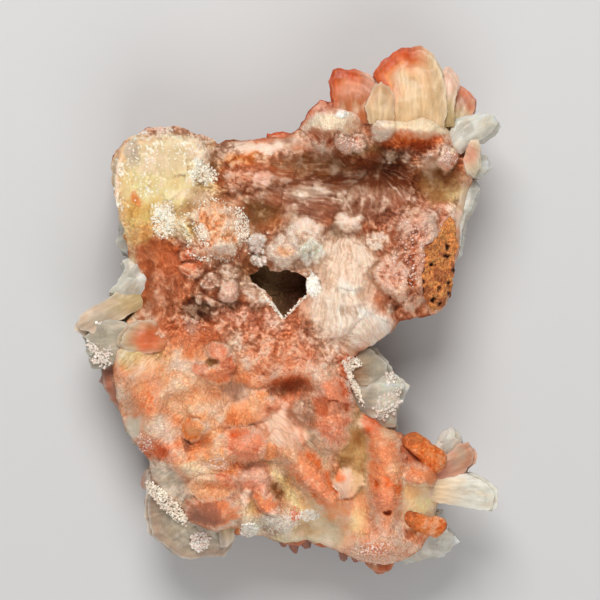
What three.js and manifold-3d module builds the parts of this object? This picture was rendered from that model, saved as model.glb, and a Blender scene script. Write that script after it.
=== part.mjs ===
// A stilbite cluster: a crust of intergrown sheaves and blades, lying with its
// crystal tips down and its broken root side up, and a scab of spongy matrix.
// Millimetres, +Z up. +X and +Y lie in the broken face, which is looked at from +Z.

import * as THREE from "three";
import { mergeVertices } from "three/addons/utils/BufferGeometryUtils.js";
import Module from "manifold-3d";

const wasm = await Module();
wasm.setup();

// Driving sizes of the grown mass
const FACE_GRID = 2.95; // spacing of the facets on the broken face
const BACK_GRID = 10; // spacing of the facets between the roots of the sheaves
const GRID_WANDER = 0.33; // how far a facet corner strays from its row, as a share of the spacing
const FACE_LEVEL = 24.5; // usual height of the broken face
const BACK_LEVEL = 13; // usual height where the tips leave the mass
const RIM_LEVEL = 17.5; // height where face and back meet at the rim
const RIM_SHARE = 0.2; // part of the thickness that is left at the very rim
const FACE_ROLL = 6.5; // width of the rounding of the face at the rim
const BACK_ROLL = 9; // width of the rounding of the back at the rim
const ROUGH = 0.45; // broken roughness of the face
const BACK_ROUGH = 1; // unevenness between the sheaves
const FIELD = [92, 104]; // sides of the block that the mass is carved from
const FIELD_MIDDLE = [-0.5, -5];
const TO_MIDDLE = [0.76, 0.52]; // brings the middle of the outline over the origin
const TALL = 80; // taller than anything here, for cutters
const MATRIX_GAP = 0.3;
const MATRIX_DEPTH = 5.5;

// Rim of the grown mass without the single crystals, clockwise from the pale block
const MASS_RIM = [
  [-35.8, 28], [-35.4, 31], [-33.2, 33.8], [-30.4, 35.4], [-28.4, 36.8], [-23.2, 36.8],
  [-20, 35.8], [-17.2, 34.8], [-14.4, 33.4], [-12.8, 34], [-10, 34], [-5.2, 34.6],
  [-1, 34.6], [1.8, 36.4], [3.6, 39.8], [6, 42.2], [11, 41.2], [16.4, 41.6],
  [21, 40.4], [28, 40], [33, 40.4], [35.2, 38.8], [36, 35], [36.8, 30],
  [36.8, 26], [36, 21], [34.8, 17], [34, 12], [33, 8], [32.4, 4],
  [31.4, 0.8], [29.4, -0.8], [25, -1.6], [22, -2.2], [19.4, -5.2], [16.4, -7.4],
  [14, -8.4], [12.4, -11.2], [12.4, -16.4], [14.4, -20.4], [19, -23.6], [22.6, -25.2],
  [26, -27.6], [29, -30.4], [30.6, -34], [30, -38], [29.2, -41], [28.4, -45],
  [26, -48.4], [22.4, -50.4], [19, -51.2], [14.4, -50.4], [11, -49.2], [8, -47.8],
  [3.6, -46.2], [-1, -47], [-5.6, -45.4], [-10, -45.2], [-15, -45], [-20, -42.8],
  [-25, -37.6], [-28, -34], [-28.4, -30.4], [-30.4, -27.4], [-32.8, -24.6], [-34.2, -21],
  [-35, -17], [-35.6, -13], [-35.2, -8], [-34.4, -5], [-32.4, -1.6], [-30.4, 1],
  [-31.2, 5], [-32.4, 9.6], [-32.8, 14], [-33.8, 18],
];

// Swellings and hollows of the broken face: [x, y, half length, half width, turn in degrees, rise]
const FACE_FORMS = [
  // top lobes and the lip above the shaded hollow
  [24, 37.6, 11, 3.4, -4, 7.5], [8, 37.2, 6.2, 4.4, 8, 6.5], [17.5, 37.4, 2.6, 2.8, 0, 3],
  [30, 31, 3.2, 2.8, 30, 3.5], [-6, 30, 9, 3.4, 2, 2.2], [-7, 25, 5, 3.6, 10, 1.6],
  // the shaded hollow and the olive recess
  [8, 28.2, 16, 3, -6, -5], [19, 29.4, 4, 3.6, 0, -3], [30, 25.6, 5, 4, 20, -4.5],
  // rose lumps at the right
  [25.6, 15.6, 4, 6.4, 12, 4], [22, 6, 4.6, 5, 0, 3], [14, 9, 6, 5, 0, 1.4],
  // ridges, knob and silky slope in the middle
  [4, 14.6, 4.2, 5, 20, 3], [12, 17.4, 3, 2.8, 0, 2.6],
  [-1.2, 11.6, 3.4, 3.4, 0, 3], [11, -1, 11, 5, -38, 2.4], [2, 22, 8, 2.6, -5, 1.6],
  // frosted lump and the olive hollows beside it
  [-15.6, 16, 6, 6, 0, 4], [-7, 19, 4.2, 3, -10, -3], [-8, 7.6, 2.4, 3, 0, -2],
  [-12.2, 4, 2.2, 2.4, 0, 2.6],
  // pale block with the cleft at its right side
  [-26.5, 26, 8.5, 9, 0, 2.4], [-16.6, 27, 2.2, 6, -25, -4.5], [-22.5, 16.6, 4, 3, 30, 1.6],
  // left flank, falling outwards, and salmon shoulder
  [-30, 6, 3, 12, 0, -4], [-20, 3, 7, 7, 0, 2.6], [-12.5, -4, 5, 4, 0, 2],
  // orange lumps of the lower left
  [-28, -17, 4.2, 4.6, 10, 5], [-21, -13.4, 4.6, 4.2, 0, 4.6], [-15, -10.6, 3.2, 3, 0, 4.4],
  [-26.4, -24, 4.4, 4, 0, 4.4], [-17, -21.6, 4.4, 4, 20, 5], [-13, -27.4, 4, 3.4, 10, 4.4],
  [-20.4, -29.4, 4.2, 3.2, 0, 4], [-20.4, -25.4, 2.2, 2.2, 0, -4.5], [-7.6, -26.8, 3.2, 3, 0, 4],
  [-13, -16, 2.4, 1.8, 30, -2.5],
  // rough centre with its crevice and fibrous valleys
  [-2, -9, 8, 5, 0, 2.6], [-0.6, -15.6, 5, 2.2, 14, -4], [-10.4, -16, 2.4, 2.2, 0, -3],
  [-2, -21.6, 4.2, 3.2, -32, -3.4], [5, -13, 3, 2.4, 0, 2],
  // ridges, column and lumps of the lower right
  [4, -32.6, 10.5, 2.9, -47, 6.6], [8.6, -17, 4.4, 2.4, -45, 3.6], [8.4, -23.6, 3.8, 4.2, 0, 5],
  [19, -32, 3.4, 12, 0, 6.6], [26, -32.8, 3.2, 2.4, 10, 5], [13.6, -31.6, 2.2, 9, -12, -4],
  [-2.4, -36.4, 2.4, 3, -40, -3],
  // bottom edge
  [17, -47.4, 5, 4, 0, 4], [7, -44, 6, 4.4, 0, -2.6], [-15, -40.4, 4.6, 3.4, 0, 6],
  [-4.4, -39, 2.4, 3.2, 10, 3.4], [-1.6, -42, 3.4, 2.4, 0, 2.6], [-8, -42, 2.6, 2.6, 0, 1.6],
  [25, -40, 3, 5, 0, -3],
];

// Swellings of the back: [x, y, half length, half width, turn, drop]
const BACK_FORMS = [
  [-20, 18, 13, 14, 0, 3.5], [16, 24, 15, 12, 0, 3], [-14, -18, 16, 15, 0, 4],
  [14, -36, 13, 11, 0, 3.5], [-2, 4, 10, 10, 0, 2], [-2, -40, 8, 8, 0, 2],
];

// Mouth of the pocket in the middle of the face, and the chamber under it
const POCKET_MOUTH = [
  [-7.8, 6.8], [-6.8, 7.8], [-4.6, 9], [-3.8, 7.8], [-0.4, 7.8], [2, 7.4],
  [3.6, 6.4], [3.2, 4.8], [3.6, 3.2], [2, 2], [0.6, 0.8], [-1, -1.2],
  [-2, -1], [-3, 0], [-3.8, 2.8], [-5.2, 4.4], [-6.6, 4.8], [-7.6, 5.6],
];
const POCKET_FLOOR = 16.5;
const POCKET_CHAMBER = { middle: [-1.8, 3.8, 20.4], half: [6.6, 5.6, 4.6] };

// The spongy matrix scab at the right rim, in plan, and its pits [x, y, radius]
const MATRIX_RIM = [
  [30.4, 17.4], [32, 19.4], [33.4, 16.6], [33.2, 12], [32.8, 8], [32.2, 4],
  [31.4, 1], [30, -0.1], [28.2, 0.2], [27, 1.2], [26, 4.6], [25.8, 7.2],
  [27, 10.4], [26.4, 12.8], [28, 13.6], [29.4, 15],
];
const MATRIX_PITS = [
  [30, 15, 0.9], [27.6, 12.2, 0.9], [30, 7.6, 1], [32, 5.2, 0.8], [28.4, 3.6, 0.9],
  [31, 11, 0.8], [28.6, 8.6, 0.7],
];

// Single crystals that show at the rim, in plan, with the heights of their two broad faces.
// The blunt ones have no bevelled edges.
const RIM_CRYSTALS = [
  // crown: left petal, low petal, the great fan, and the blades at its right
  { low: 16, high: 27.5, lean: [6, 0], rim: [[8.2, 39], [8.2, 45.2], [8.8, 48], [12.4, 48.1],
    [15, 47.6], [16.4, 46.4], [16.8, 43], [16, 38]] },
  { low: 20, high: 30, lean: [8, 0], blunt: true, rim: [[13, 37], [13.4, 43.6], [15.4, 45.8], [17.6, 45],
    [20.6, 42], [21, 37]] },
  { low: 17, high: 32, lean: [4, 0], rim: [[20, 36], [17.6, 42], [16.6, 46.8], [17.6, 48.8],
    [19, 50.4], [21.6, 52.2], [23.4, 52.7], [26, 53], [28, 51.8], [30, 48.8], [30.2, 45],
    [29.2, 40], [27.6, 36]] },
  { low: 19, high: 33.5, lean: [7, 0], rim: [[20.2, 36], [19.4, 42.6], [20.6, 48], [22.6, 49.4],
    [24.6, 47], [24.4, 41], [23.6, 36]] },
  { low: 17, high: 28, lean: [6, -4], rim: [[29.4, 37], [29.6, 48.4], [31.6, 48.7], [33.2, 47],
    [33.6, 45.4], [33.4, 38]] },
  { low: 16, high: 26, lean: [4, -6], rim: [[32.6, 36], [33, 45], [35, 44.8], [37, 43],
    [37.4, 42.2], [36.4, 39.4], [35.4, 36]] },
  { low: 16.5, high: 24, lean: [2, -8], rim: [[32, 34.6], [36, 39.2], [39, 39.9], [41.4, 39],
    [42.6, 38], [42, 36.4], [39.2, 33.8], [36, 32], [33, 31.6]] },
  { low: 17, high: 27.5, lean: [0, -6], blunt: true, rim: [[33.6, 30], [34.4, 33.6], [37.2, 34], [38.2, 32],
    [38, 26.8], [35.4, 25.4], [33.8, 26.6]] },
  { low: 13, high: 20.5, lean: [-2, -10], blunt: true, rim: [[34.6, 29.4], [39, 31.4],
    [40.8, 30.2], [41.4, 29], [40.8, 28], [38.2, 26.4], [35, 26]] },
  // pale blade along the right rim
  { low: 11.5, high: 21, lean: [0, -8], blunt: true, rim: [[34, 25], [38.6, 24.6], [38, 22.8], [37.2, 20.4],
    [36, 19], [35.2, 15.6], [34.6, 11.2], [33.6, 10], [32, 14]] },
  // flat red crystal under the top edge
  { low: 14, high: 20, lean: [0, 0], blunt: true, rim: [[-5, 31], [-4.5, 36.2], [1.6, 36], [2, 31]] },
  // clear blocky crystals in the bay
  { low: 11, high: 21, lean: [0, -6], blunt: true, rim: [[11, -9], [16.6, -7.6], [18.2, -8], [20.2, -10.6],
    [21, -13], [17, -16], [11, -16]] },
  { low: 9.5, high: 19, lean: [-4, -8], rim: [[12, -15], [18, -12.4], [21.4, -12.8], [24.2, -15],
    [23.6, -17], [22.2, -20.6], [22.4, -24], [17, -24], [12, -19]] },
  // blades of the lower right
  { low: 17, high: 22.5, lean: [4, -6], rim: [[27, -30], [30, -25.4], [30.8, -23.8], [32.8, -23],
    [33.8, -24], [34.8, -26], [33, -30], [29, -32]] },
  { low: 15, high: 24, lean: [0, -6], rim: [[28, -31], [33, -27], [34.8, -26], [37, -26.2],
    [38.2, -28.6], [37.8, -29.8], [36, -31.4], [35.4, -32.8], [29, -34]] },
  { low: 17, high: 24, lean: [0, -7], rim: [[26, -33.4], [33, -32.8], [36, -32.6], [39, -33.8],
    [40.6, -34.8], [41.6, -36], [41.8, -38], [41.6, -39.6], [40.6, -40.4], [37.2, -39.8],
    [33, -39], [26, -38]] },
  { low: 9, high: 19.5, lean: [4, -5], rim: [[22, -40], [28, -40.2], [31, -40.4], [32.2, -43.6],
    [34.6, -46.4], [33.2, -48.6], [31.6, -49.6], [28, -50.4], [24, -51.4], [20, -48]] },
  { low: 12, high: 25, lean: [5, 0], rim: [[21, -45], [22.4, -50], [21, -52.6], [18.8, -54],
    [17, -54], [15.2, -52.2], [13, -50], [12, -46]] },
  // great fan of the lower left and the small blades beside it
  { low: 11, high: 22, lean: [3, 3], rim: [[-12, -42], [-11, -46], [-12, -48], [-13.4, -49.8],
    [-18, -50], [-20.6, -50.6], [-22.6, -50.2], [-26, -47.8], [-28.6, -45.8], [-29.4, -42],
    [-29.2, -33], [-24, -31], [-17, -36]] },
  { low: 17, high: 23.5, lean: [8, 4], blunt: true, rim: [[-14.6, -42], [-14, -47.6], [-12.6, -48.2],
    [-11.4, -46.6], [-11, -42]] },
  { low: 9, high: 18, lean: [6, 0], blunt: true, rim: [[-3, -42], [-2.6, -46.6], [-1, -47.8], [1.6, -48.2],
    [3.2, -46.8], [3, -42]] },
  { low: 8.5, high: 17.5, lean: [6, 0], blunt: true, rim: [[3.6, -42], [4, -47], [5.6, -48], [8.6, -48.2],
    [12, -50], [13.6, -49], [13, -42]] },
  // crystals of the left rim
  { low: 11, high: 21, lean: [0, 6], blunt: true, rim: [[-29, 12], [-32, 9.6], [-34.4, 10.8], [-35.4, 13.2],
    [-34.6, 17.8], [-30, 19]] },
  { low: 12, high: 22, lean: [-3, 6], blunt: true, rim: [[-28.6, 5.6], [-29, 1], [-34, 2], [-37.2, 3],
    [-35.6, 4.8], [-33.6, 8], [-34.2, 9.8], [-30, 11]] },
  { low: 14, high: 21, lean: [-3, 4], rim: [[-27, 2], [-33, -1.6], [-39, -5], [-41.2, -5.6],
    [-42.8, -4.8], [-44.2, -3.4], [-44, -2], [-41, 0], [-36.8, 2.4], [-33, 5], [-28, 6]] },
  { low: 9, high: 22.5, lean: [0, 6], rim: [[-31, -9], [-36.4, -11.2], [-38.8, -12.2],
    [-40.2, -12], [-42, -8.2], [-42, -5.2], [-40, -2.4], [-36.4, -1.6], [-32, -3]] },
  { low: 17, high: 27, lean: [0, 5], rim: [[-25, -8.4], [-31, -8.6], [-34.4, -7.6], [-35.6, -5],
    [-32, -2.2], [-28, -1.8], [-24, -4]] },
  { low: 8, high: 19, lean: [3, 6], blunt: true, rim: [[-30, -20], [-34.2, -21.4], [-36, -19.2],
    [-37.4, -17.6], [-38.8, -14.8], [-39.2, -12], [-36, -10.4], [-31, -11]] },
];
const RIM_TAPER = 0.5; // share of its thickness that a rim crystal loses towards its tip
const RIM_BEVEL = 0.9;

// Rounded stalactitic fingers of the face: from, to, and radius
const FINGERS = [
  [[21, -25.6, 24], [28.6, -30.8, 25], 2.2],
  [[21, -40.6, 22], [29.6, -42.8, 22.5], 2],
  [[18.6, -22, 27], [19.6, -43, 27], 2.3],
  [[-1.8, -26, 25], [9.8, -40, 26], 2.3],
];

// Sheaves of the crystal side: each is a fan with picket ends
const SHEAF_ROOT = 16; // height that the roots start from
const ROOT_SHARE = 0.62; // width of a fan at its root, as a share of its full width
const LEAN_AT_RIM = 36; // how far rim sheaves lean outwards, degrees
const LEAN_REACH = 46; // distance from the middle at which that lean is reached
const LEAN_STRAY = 9; // how far a sheaf strays from its lean, degrees
const STEP_LENGTH = 0.8; // length of the thin blade that steps off a fan, as a share of the fan's
// [x, y, height of the tip, width, thickness, turn about the length in degrees, stepped]
const SHEAVES = [
  [11, 36, 4.5, 10, 5, 10, 0], [20, 37, 2, 12, 6, 60, 1], [29, 34, 5, 9, 5, 110, 0],
  [-27, 28, 3.5, 12, 6, 20, 0], [-19, 28, 1.5, 10, 5, 95, 0], [-8, 27, 4, 11, 6, 150, 1],
  [3, 27, 2.5, 11, 5, 35, 0], [13, 26, 4.5, 10, 5, 85, 0], [30, 24, 3, 11, 5, 40, 0],
  [-28, 19, 5, 11, 5, 70, 0], [-12, 18, 3, 11, 6, 40, 1], [-2, 16, 5, 10, 5, 120, 0],
  [8, 16, 3, 11, 5, 5, 0], [15, 13, 5.5, 10, 5, 65, 0], [28, 12, 4, 10, 5, 100, 0],
  [-26, 8, 3, 12, 6, 10, 0], [-17, 8, 5, 10, 5, 130, 0], [12, 5, 4, 11, 5, 155, 0],
  [23, 4, 5, 9, 5, 60, 0], [-28, -2, 4.5, 11, 5, 45, 0], [-17, -3, 2.5, 11, 6, 85, 1],
  [6, -4, 4.5, 10, 5, 70, 0], [-29, -13, 4, 11, 5, 150, 0], [-11, -13, 3.5, 12, 6, 125, 1],
  [-1, -14, 5.5, 10, 5, 15, 0], [8, -14, 4, 9, 5, 100, 0], [-25, -24, 4.5, 10, 5, 30, 0],
  [-16, -25, 3, 10, 6, 60, 0], [-7, -24, 4, 11, 5, 145, 1], [4, -24, 2.5, 11, 6, 80, 0],
  [13, -23, 4.5, 10, 5, 35, 0], [-23, -34, 4, 10, 5, 110, 0], [-4, -34, 5, 10, 5, 5, 0],
  [25, -32, 4, 10, 5, 130, 0], [20, -34, 2.5, 9, 5, 50, 0], [1, -39, 3.5, 10, 5, 100, 0],
  [11, -41, 3.5, 10, 5, 65, 1], [22, -42, 3, 11, 6, 15, 0], [-14, -40, 4, 9, 5, 140, 0],
];
// Sheaves that carry the cluster: upright, and ended flat by the ground [x, y, width, thickness, turn]
const FEET = [
  [-20, 18, 11, 6.5, 20], [22, 28, 11, 6.5, 75], [21, 9, 9, 6, 120], [-21, -16, 11, 6.5, 100],
  [-3, -4, 10, 6, 35], [12, -33, 11, 6.5, 150], [-13, -33, 10, 6, 65],
];

function solid(geometry) {
  const bare = geometry.index ? geometry.toNonIndexed() : geometry.clone();
  bare.deleteAttribute("normal");
  bare.deleteAttribute("uv");
  const merged = mergeVertices(bare, 1e-4);
  return new wasm.Manifold(new wasm.Mesh({
    numProp: 3,
    vertProperties: merged.attributes.position.array,
    triVerts: new Uint32Array(merged.index.array),
  }));
}

function meshOf(name, body, colour, roughness) {
  const { vertProperties, triVerts } = body.getMesh();
  const geometry = new THREE.BufferGeometry();
  geometry.setAttribute("position", new THREE.BufferAttribute(vertProperties, 3));
  geometry.setIndex(new THREE.BufferAttribute(triVerts, 1));
  geometry.computeVertexNormals();
  const look = new THREE.MeshStandardMaterial({ color: colour, roughness, metalness: 0 });
  const mesh = new THREE.Mesh(geometry, look);
  mesh.name = name;
  mesh.position.set(TO_MIDDLE[0], TO_MIDDLE[1], 0);
  return mesh;
}

function shapeOf(rim) {
  return new THREE.Shape(rim.map(([x, y]) => new THREE.Vector2(x, y)));
}

// A straight-sided cutter over a rim, from one height to another
function prism(rim, low, high) {
  const block = new THREE.ExtrudeGeometry(shapeOf(rim), { depth: high - low, bevelEnabled: false });
  block.translate(0, 0, low);
  return solid(block);
}

// Repeatable scatter between -1 and 1
function scatter(a, b, c = 0) {
  const wave = Math.sin(a * 127.1 + b * 311.7 + c * 74.7) * 43758.5453;
  return 2 * (wave - Math.floor(wave)) - 1;
}

function distanceToRim(x, y, rim) {
  let best = Infinity;
  rim.forEach(([ax, ay], i) => {
    const [bx, by] = rim[(i + 1) % rim.length];
    const along = ((x - ax) * (bx - ax) + (y - ay) * (by - ay)) / ((bx - ax) ** 2 + (by - ay) ** 2);
    const t = Math.min(1, Math.max(0, along));
    best = Math.min(best, Math.hypot(x - ax - t * (bx - ax), y - ay - t * (by - ay)));
  });
  return best;
}

function insideRim(x, y, rim) {
  let inside = false;
  rim.forEach(([ax, ay], i) => {
    const [bx, by] = rim[(i + 1) % rim.length];
    if (ay > y !== by > y && x < ((bx - ax) * (y - ay)) / (by - ay) + ax) inside = !inside;
  });
  return inside;
}

// Sum of swellings with round tops and fairly steep sides
function formsAt(x, y, forms) {
  return forms.reduce((sum, [cx, cy, long, wide, turn, rise]) => {
    const a = THREE.MathUtils.degToRad(turn);
    const u = ((x - cx) * Math.cos(a) + (y - cy) * Math.sin(a)) / long;
    const v = ((y - cy) * Math.cos(a) - (x - cx) * Math.sin(a)) / wide;
    return sum + rise * Math.exp(-((u * u + v * v) ** 1.5));
  }, 0);
}

// Quarter-round roll from the rim inwards
function roll(x, y, width) {
  const depth = insideRim(x, y, MASS_RIM) ? distanceToRim(x, y, MASS_RIM) : 0;
  const t = Math.min(1, depth / width);
  return RIM_SHARE + (1 - RIM_SHARE) * Math.sqrt(1 - (1 - t) ** 2);
}

function faceHeight(x, y) {
  const full = FACE_LEVEL + formsAt(x, y, FACE_FORMS);
  return RIM_LEVEL + (full - RIM_LEVEL) * roll(x, y, FACE_ROLL);
}

function backHeight(x, y) {
  const full = BACK_LEVEL - formsAt(x, y, BACK_FORMS);
  return RIM_LEVEL + (full - RIM_LEVEL) * roll(x, y, BACK_ROLL);
}

// A block whose top or bottom corners follow a height, trimmed to the rim
function reliefBlock(grid, low, high, heightOf) {
  const columns = Math.round(FIELD[0] / grid);
  const rows = Math.round(FIELD[1] / grid);
  const block = new THREE.BoxGeometry(FIELD[0], FIELD[1], 1, columns, rows, 1);
  const at = block.attributes.position;
  for (let i = 0; i < at.count; i += 1) {
    const gx = at.getX(i);
    const gy = at.getY(i);
    const x = gx + FIELD_MIDDLE[0] + GRID_WANDER * grid * scatter(gx, gy, 1);
    const y = gy + FIELD_MIDDLE[1] + GRID_WANDER * grid * scatter(gx, gy, 2);
    const flat = at.getZ(i) > 0 ? high : low;
    at.setXYZ(i, x, y, flat === null ? heightOf(x, y) : flat);
  }
  return solid(block).intersect(prism(MASS_RIM, -TALL, TALL));
}

// The mass: a finely broken face over a coarser back that the sheaves hide
function grownMass() {
  const face = reliefBlock(FACE_GRID, RIM_LEVEL - 0.6, null,
    (x, y) => faceHeight(x, y) + ROUGH * scatter(x, y, 3));
  const back = reliefBlock(BACK_GRID, null, RIM_LEVEL,
    (x, y) => backHeight(x, y) + BACK_ROUGH * scatter(x, y, 4));
  return face.add(back);
}

// A crystal over a plan whose first and last corners are its root, with bevelled edges unless
// it is blunt. It thins towards its tip and leans by [about X, about Y] degrees about its middle.
function rimCrystal({ low, high, lean, rim, blunt = false }) {
  const bevel = blunt ? 0 : RIM_BEVEL;
  const block = new THREE.ExtrudeGeometry(shapeOf(rim), {
    depth: high - low - 2 * bevel,
    bevelEnabled: !blunt,
    bevelThickness: bevel,
    bevelSize: bevel,
    bevelOffset: -bevel,
    bevelSegments: 1,
  });
  block.translate(0, 0, bevel - (high - low) / 2);
  const corners = rim.map(([x, y]) => new THREE.Vector2(x, y));
  const root = corners[0].clone().lerp(corners[corners.length - 1], 0.5);
  const reach = Math.max(...corners.map((corner) => corner.distanceTo(root)));
  const at = block.attributes.position;
  for (let i = 0; i < at.count; i += 1) {
    const out = Math.hypot(at.getX(i) - root.x, at.getY(i) - root.y) / reach;
    at.setZ(i, at.getZ(i) * (1 - RIM_TAPER * out * out));
  }
  const middle = new THREE.Box2().setFromPoints(corners).getCenter(new THREE.Vector2());
  block.translate(-middle.x, -middle.y, 0);
  block.rotateX(THREE.MathUtils.degToRad(lean[0]));
  block.rotateY(THREE.MathUtils.degToRad(lean[1]));
  block.translate(middle.x, middle.y, (low + high) / 2);
  return solid(block);
}

// A fan with two picket ends that starts at the origin and runs along +Y
function fanGeometry(length, width, thickness) {
  const h = width / 2;
  const root = ROOT_SHARE * h;
  const plan = [
    [-root, 0], [-h, length - 0.34 * width], [-0.62 * h, length], [-0.3 * h, length],
    [0.04 * h, length - 0.15 * width], [0.34 * h, length - 0.05 * width],
    [0.64 * h, length - 0.05 * width], [h, length - 0.4 * width], [root, 0],
  ];
  const slab = new THREE.ExtrudeGeometry(shapeOf(plan), { depth: thickness, bevelEnabled: false });
  return slab.translate(0, 0, -thickness / 2);
}

// Turns +Y to the given direction, after a turn about the crystal's own length
function aim(geometry, x, y, direction, turn) {
  geometry.rotateY(THREE.MathUtils.degToRad(turn));
  const swing = new THREE.Quaternion().setFromUnitVectors(new THREE.Vector3(0, 1, 0), direction);
  geometry.applyQuaternion(swing);
  return solid(geometry.translate(x, y, SHEAF_ROOT));
}

function sheaf([x, y, tip, width, thickness, turn, stepped]) {
  const reach = Math.min(1, Math.hypot(x, y) / LEAN_REACH);
  const outward = LEAN_AT_RIM * reach * reach;
  const away = Math.atan2(y, x);
  const leanX = outward * Math.cos(away) + LEAN_STRAY * scatter(x, y, 5);
  const leanY = outward * Math.sin(away) + LEAN_STRAY * scatter(x, y, 6);
  const direction = new THREE.Vector3(
    Math.tan(THREE.MathUtils.degToRad(leanX)), Math.tan(THREE.MathUtils.degToRad(leanY)), -1);
  const length = (SHEAF_ROOT - tip) * direction.length();
  direction.normalize();
  const crystals = [aim(fanGeometry(length, width, thickness), x, y, direction, turn)];
  if (stepped) {
    const step = fanGeometry(STEP_LENGTH * length, 0.8 * width, thickness);
    step.rotateZ(0.12 * scatter(x, y, 7));
    step.translate(0.1 * width * scatter(x, y, 8), 0, 0.5 * thickness);
    crystals.push(aim(step, x, y, direction, turn));
  }
  return crystals;
}

function foot([x, y, width, thickness, turn]) {
  const past = 0.42 * width; // sinks the picket ends below the ground, where they are cut flat
  const down = new THREE.Vector3(0, 0, -1);
  return aim(fanGeometry(SHEAF_ROOT + past, width, thickness), x, y, down, turn);
}

function finger([from, to, radius]) {
  const a = new THREE.Vector3(...from);
  const b = new THREE.Vector3(...to);
  const body = new THREE.CapsuleGeometry(radius, a.distanceTo(b), 2, 7);
  const swing = new THREE.Quaternion().setFromUnitVectors(
    new THREE.Vector3(0, 1, 0), b.clone().sub(a).normalize());
  body.applyQuaternion(swing);
  body.translate((a.x + b.x) / 2, (a.y + b.y) / 2, (a.z + b.z) / 2);
  return solid(body);
}

function pocket() {
  const { middle, half } = POCKET_CHAMBER;
  const chamber = new THREE.IcosahedronGeometry(1, 1);
  const at = chamber.attributes.position;
  for (let i = 0; i < at.count; i += 1) {
    const x = at.getX(i);
    const y = at.getY(i);
    const z = at.getZ(i);
    const knobbly = 1 + 0.12 * Math.sin(5 * x + 3 * z) * Math.cos(4 * y - 2 * z);
    at.setXYZ(i, x * knobbly, y * knobbly, z * knobbly);
  }
  chamber.scale(half[0], half[1], half[2]);
  chamber.translate(middle[0], middle[1], middle[2]);
  return prism(POCKET_MOUTH, POCKET_FLOOR + 2, TALL).add(solid(chamber));
}

// The scab of matrix, a little proud of the face, and the socket that it sits in
function matrixScab() {
  const { matrixFloor } = matrixLevels();
  const block = new THREE.BoxGeometry(10, 22, 1, 4, 9, 1);
  const at = block.attributes.position;
  for (let i = 0; i < at.count; i += 1) {
    const x = at.getX(i) + 29.6;
    const y = at.getY(i) + 9.4;
    const proud = 0.5 + 0.5 * scatter(x, y, 4);
    const z = at.getZ(i) > 0 ? faceHeight(Math.min(x, 31.5), y) + proud : matrixFloor;
    at.setXYZ(i, x, y, z);
  }
  let scab = solid(block).intersect(prism(MATRIX_RIM, 0, TALL));
  MATRIX_PITS.forEach(([x, y, radius]) => {
    const pit = new THREE.IcosahedronGeometry(radius, 0);
    pit.translate(x, y, faceHeight(x, y) + 0.2);
    scab = scab.subtract(solid(pit));
  });
  return largest(scab);
}

function matrixLevels() {
  const top = faceHeight(29.5, 9);
  return { matrixFloor: top - MATRIX_DEPTH };
}

function matrixSocket() {
  const wide = MATRIX_RIM.map(([x, y], i) => {
    const [px, py] = MATRIX_RIM[(i + MATRIX_RIM.length - 1) % MATRIX_RIM.length];
    const [nx, ny] = MATRIX_RIM[(i + 1) % MATRIX_RIM.length];
    const run = Math.hypot(nx - px, ny - py);
    return [x - (MATRIX_GAP * (ny - py)) / run, y + (MATRIX_GAP * (nx - px)) / run];
  });
  return prism(wide, matrixLevels().matrixFloor - MATRIX_GAP, TALL);
}

function largest(body) {
  return body.decompose().sort((a, b) => b.volume() - a.volume())[0];
}

function cluster() {
  const parts = [
    grownMass(),
    ...RIM_CRYSTALS.map(rimCrystal),
    ...FINGERS.map(finger),
    ...SHEAVES.flatMap(sheaf),
    ...FEET.map(foot),
  ];
  let body = parts.reduce((whole, piece) => whole.add(piece));
  body = body.subtract(pocket());
  body = body.subtract(matrixSocket());
  const ground = new THREE.BoxGeometry(3 * TALL, 3 * TALL, TALL).translate(0, 0, -TALL / 2);
  return largest(body.subtract(solid(ground)));
}

const part = new THREE.Group();
part.add(meshOf("stilbite_cluster", cluster(), 0xdb9a7c, 0.55));
part.add(meshOf("matrix_remnant", matrixScab(), 0xb5651f, 0.9));

export default part;
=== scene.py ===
"""A stilbite cluster with its broken root side up: a salmon and cream mass of fine fibres, fans
and blades round its rim, sheaves under it, and a scab of spongy matrix. Places are in
millimetres on the broken face, with x to the right and y up as it is looked at from above."""

import math

import bpy
import numpy as np
from bpy.props import FloatProperty, FloatVectorProperty, IntProperty, PointerProperty
from mathutils import Matrix, Vector
from mathutils.geometry import delaunay_2d_cdt


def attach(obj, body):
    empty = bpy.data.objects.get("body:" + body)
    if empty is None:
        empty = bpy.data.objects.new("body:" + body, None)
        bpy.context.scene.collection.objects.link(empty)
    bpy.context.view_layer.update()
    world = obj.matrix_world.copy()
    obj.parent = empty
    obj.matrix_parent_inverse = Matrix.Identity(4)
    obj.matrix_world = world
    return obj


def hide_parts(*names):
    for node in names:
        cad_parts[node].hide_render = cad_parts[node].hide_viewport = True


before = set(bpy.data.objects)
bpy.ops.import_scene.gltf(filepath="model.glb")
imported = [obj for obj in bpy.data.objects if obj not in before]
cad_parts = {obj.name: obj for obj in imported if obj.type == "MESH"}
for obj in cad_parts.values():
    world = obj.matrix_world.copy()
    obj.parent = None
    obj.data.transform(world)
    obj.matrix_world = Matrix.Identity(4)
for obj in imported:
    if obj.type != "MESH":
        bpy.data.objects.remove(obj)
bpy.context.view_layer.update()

bl_info = {
    "name": "Stilbite cluster",
    "version": (1, 0, 0),
    "blender": (4, 5, 0),
    "location": "3D View > Sidebar > Stilbite",
    "description": "Builds a stilbite cluster with its root side up",
    "category": "Add Mesh",
}

MM = 0.001
TO_MIDDLE = (0.76, 0.52)  # brings the middle of the outline over the origin

# Sizes of the grown mass, as in the solid
FACE_LEVEL = 24.5
BACK_LEVEL = 13.0
RIM_LEVEL = 17.5
RIM_SHARE = 0.2
FACE_ROLL = 6.5
BACK_ROLL = 9.0
POCKET_FLOOR = 16.6

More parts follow.
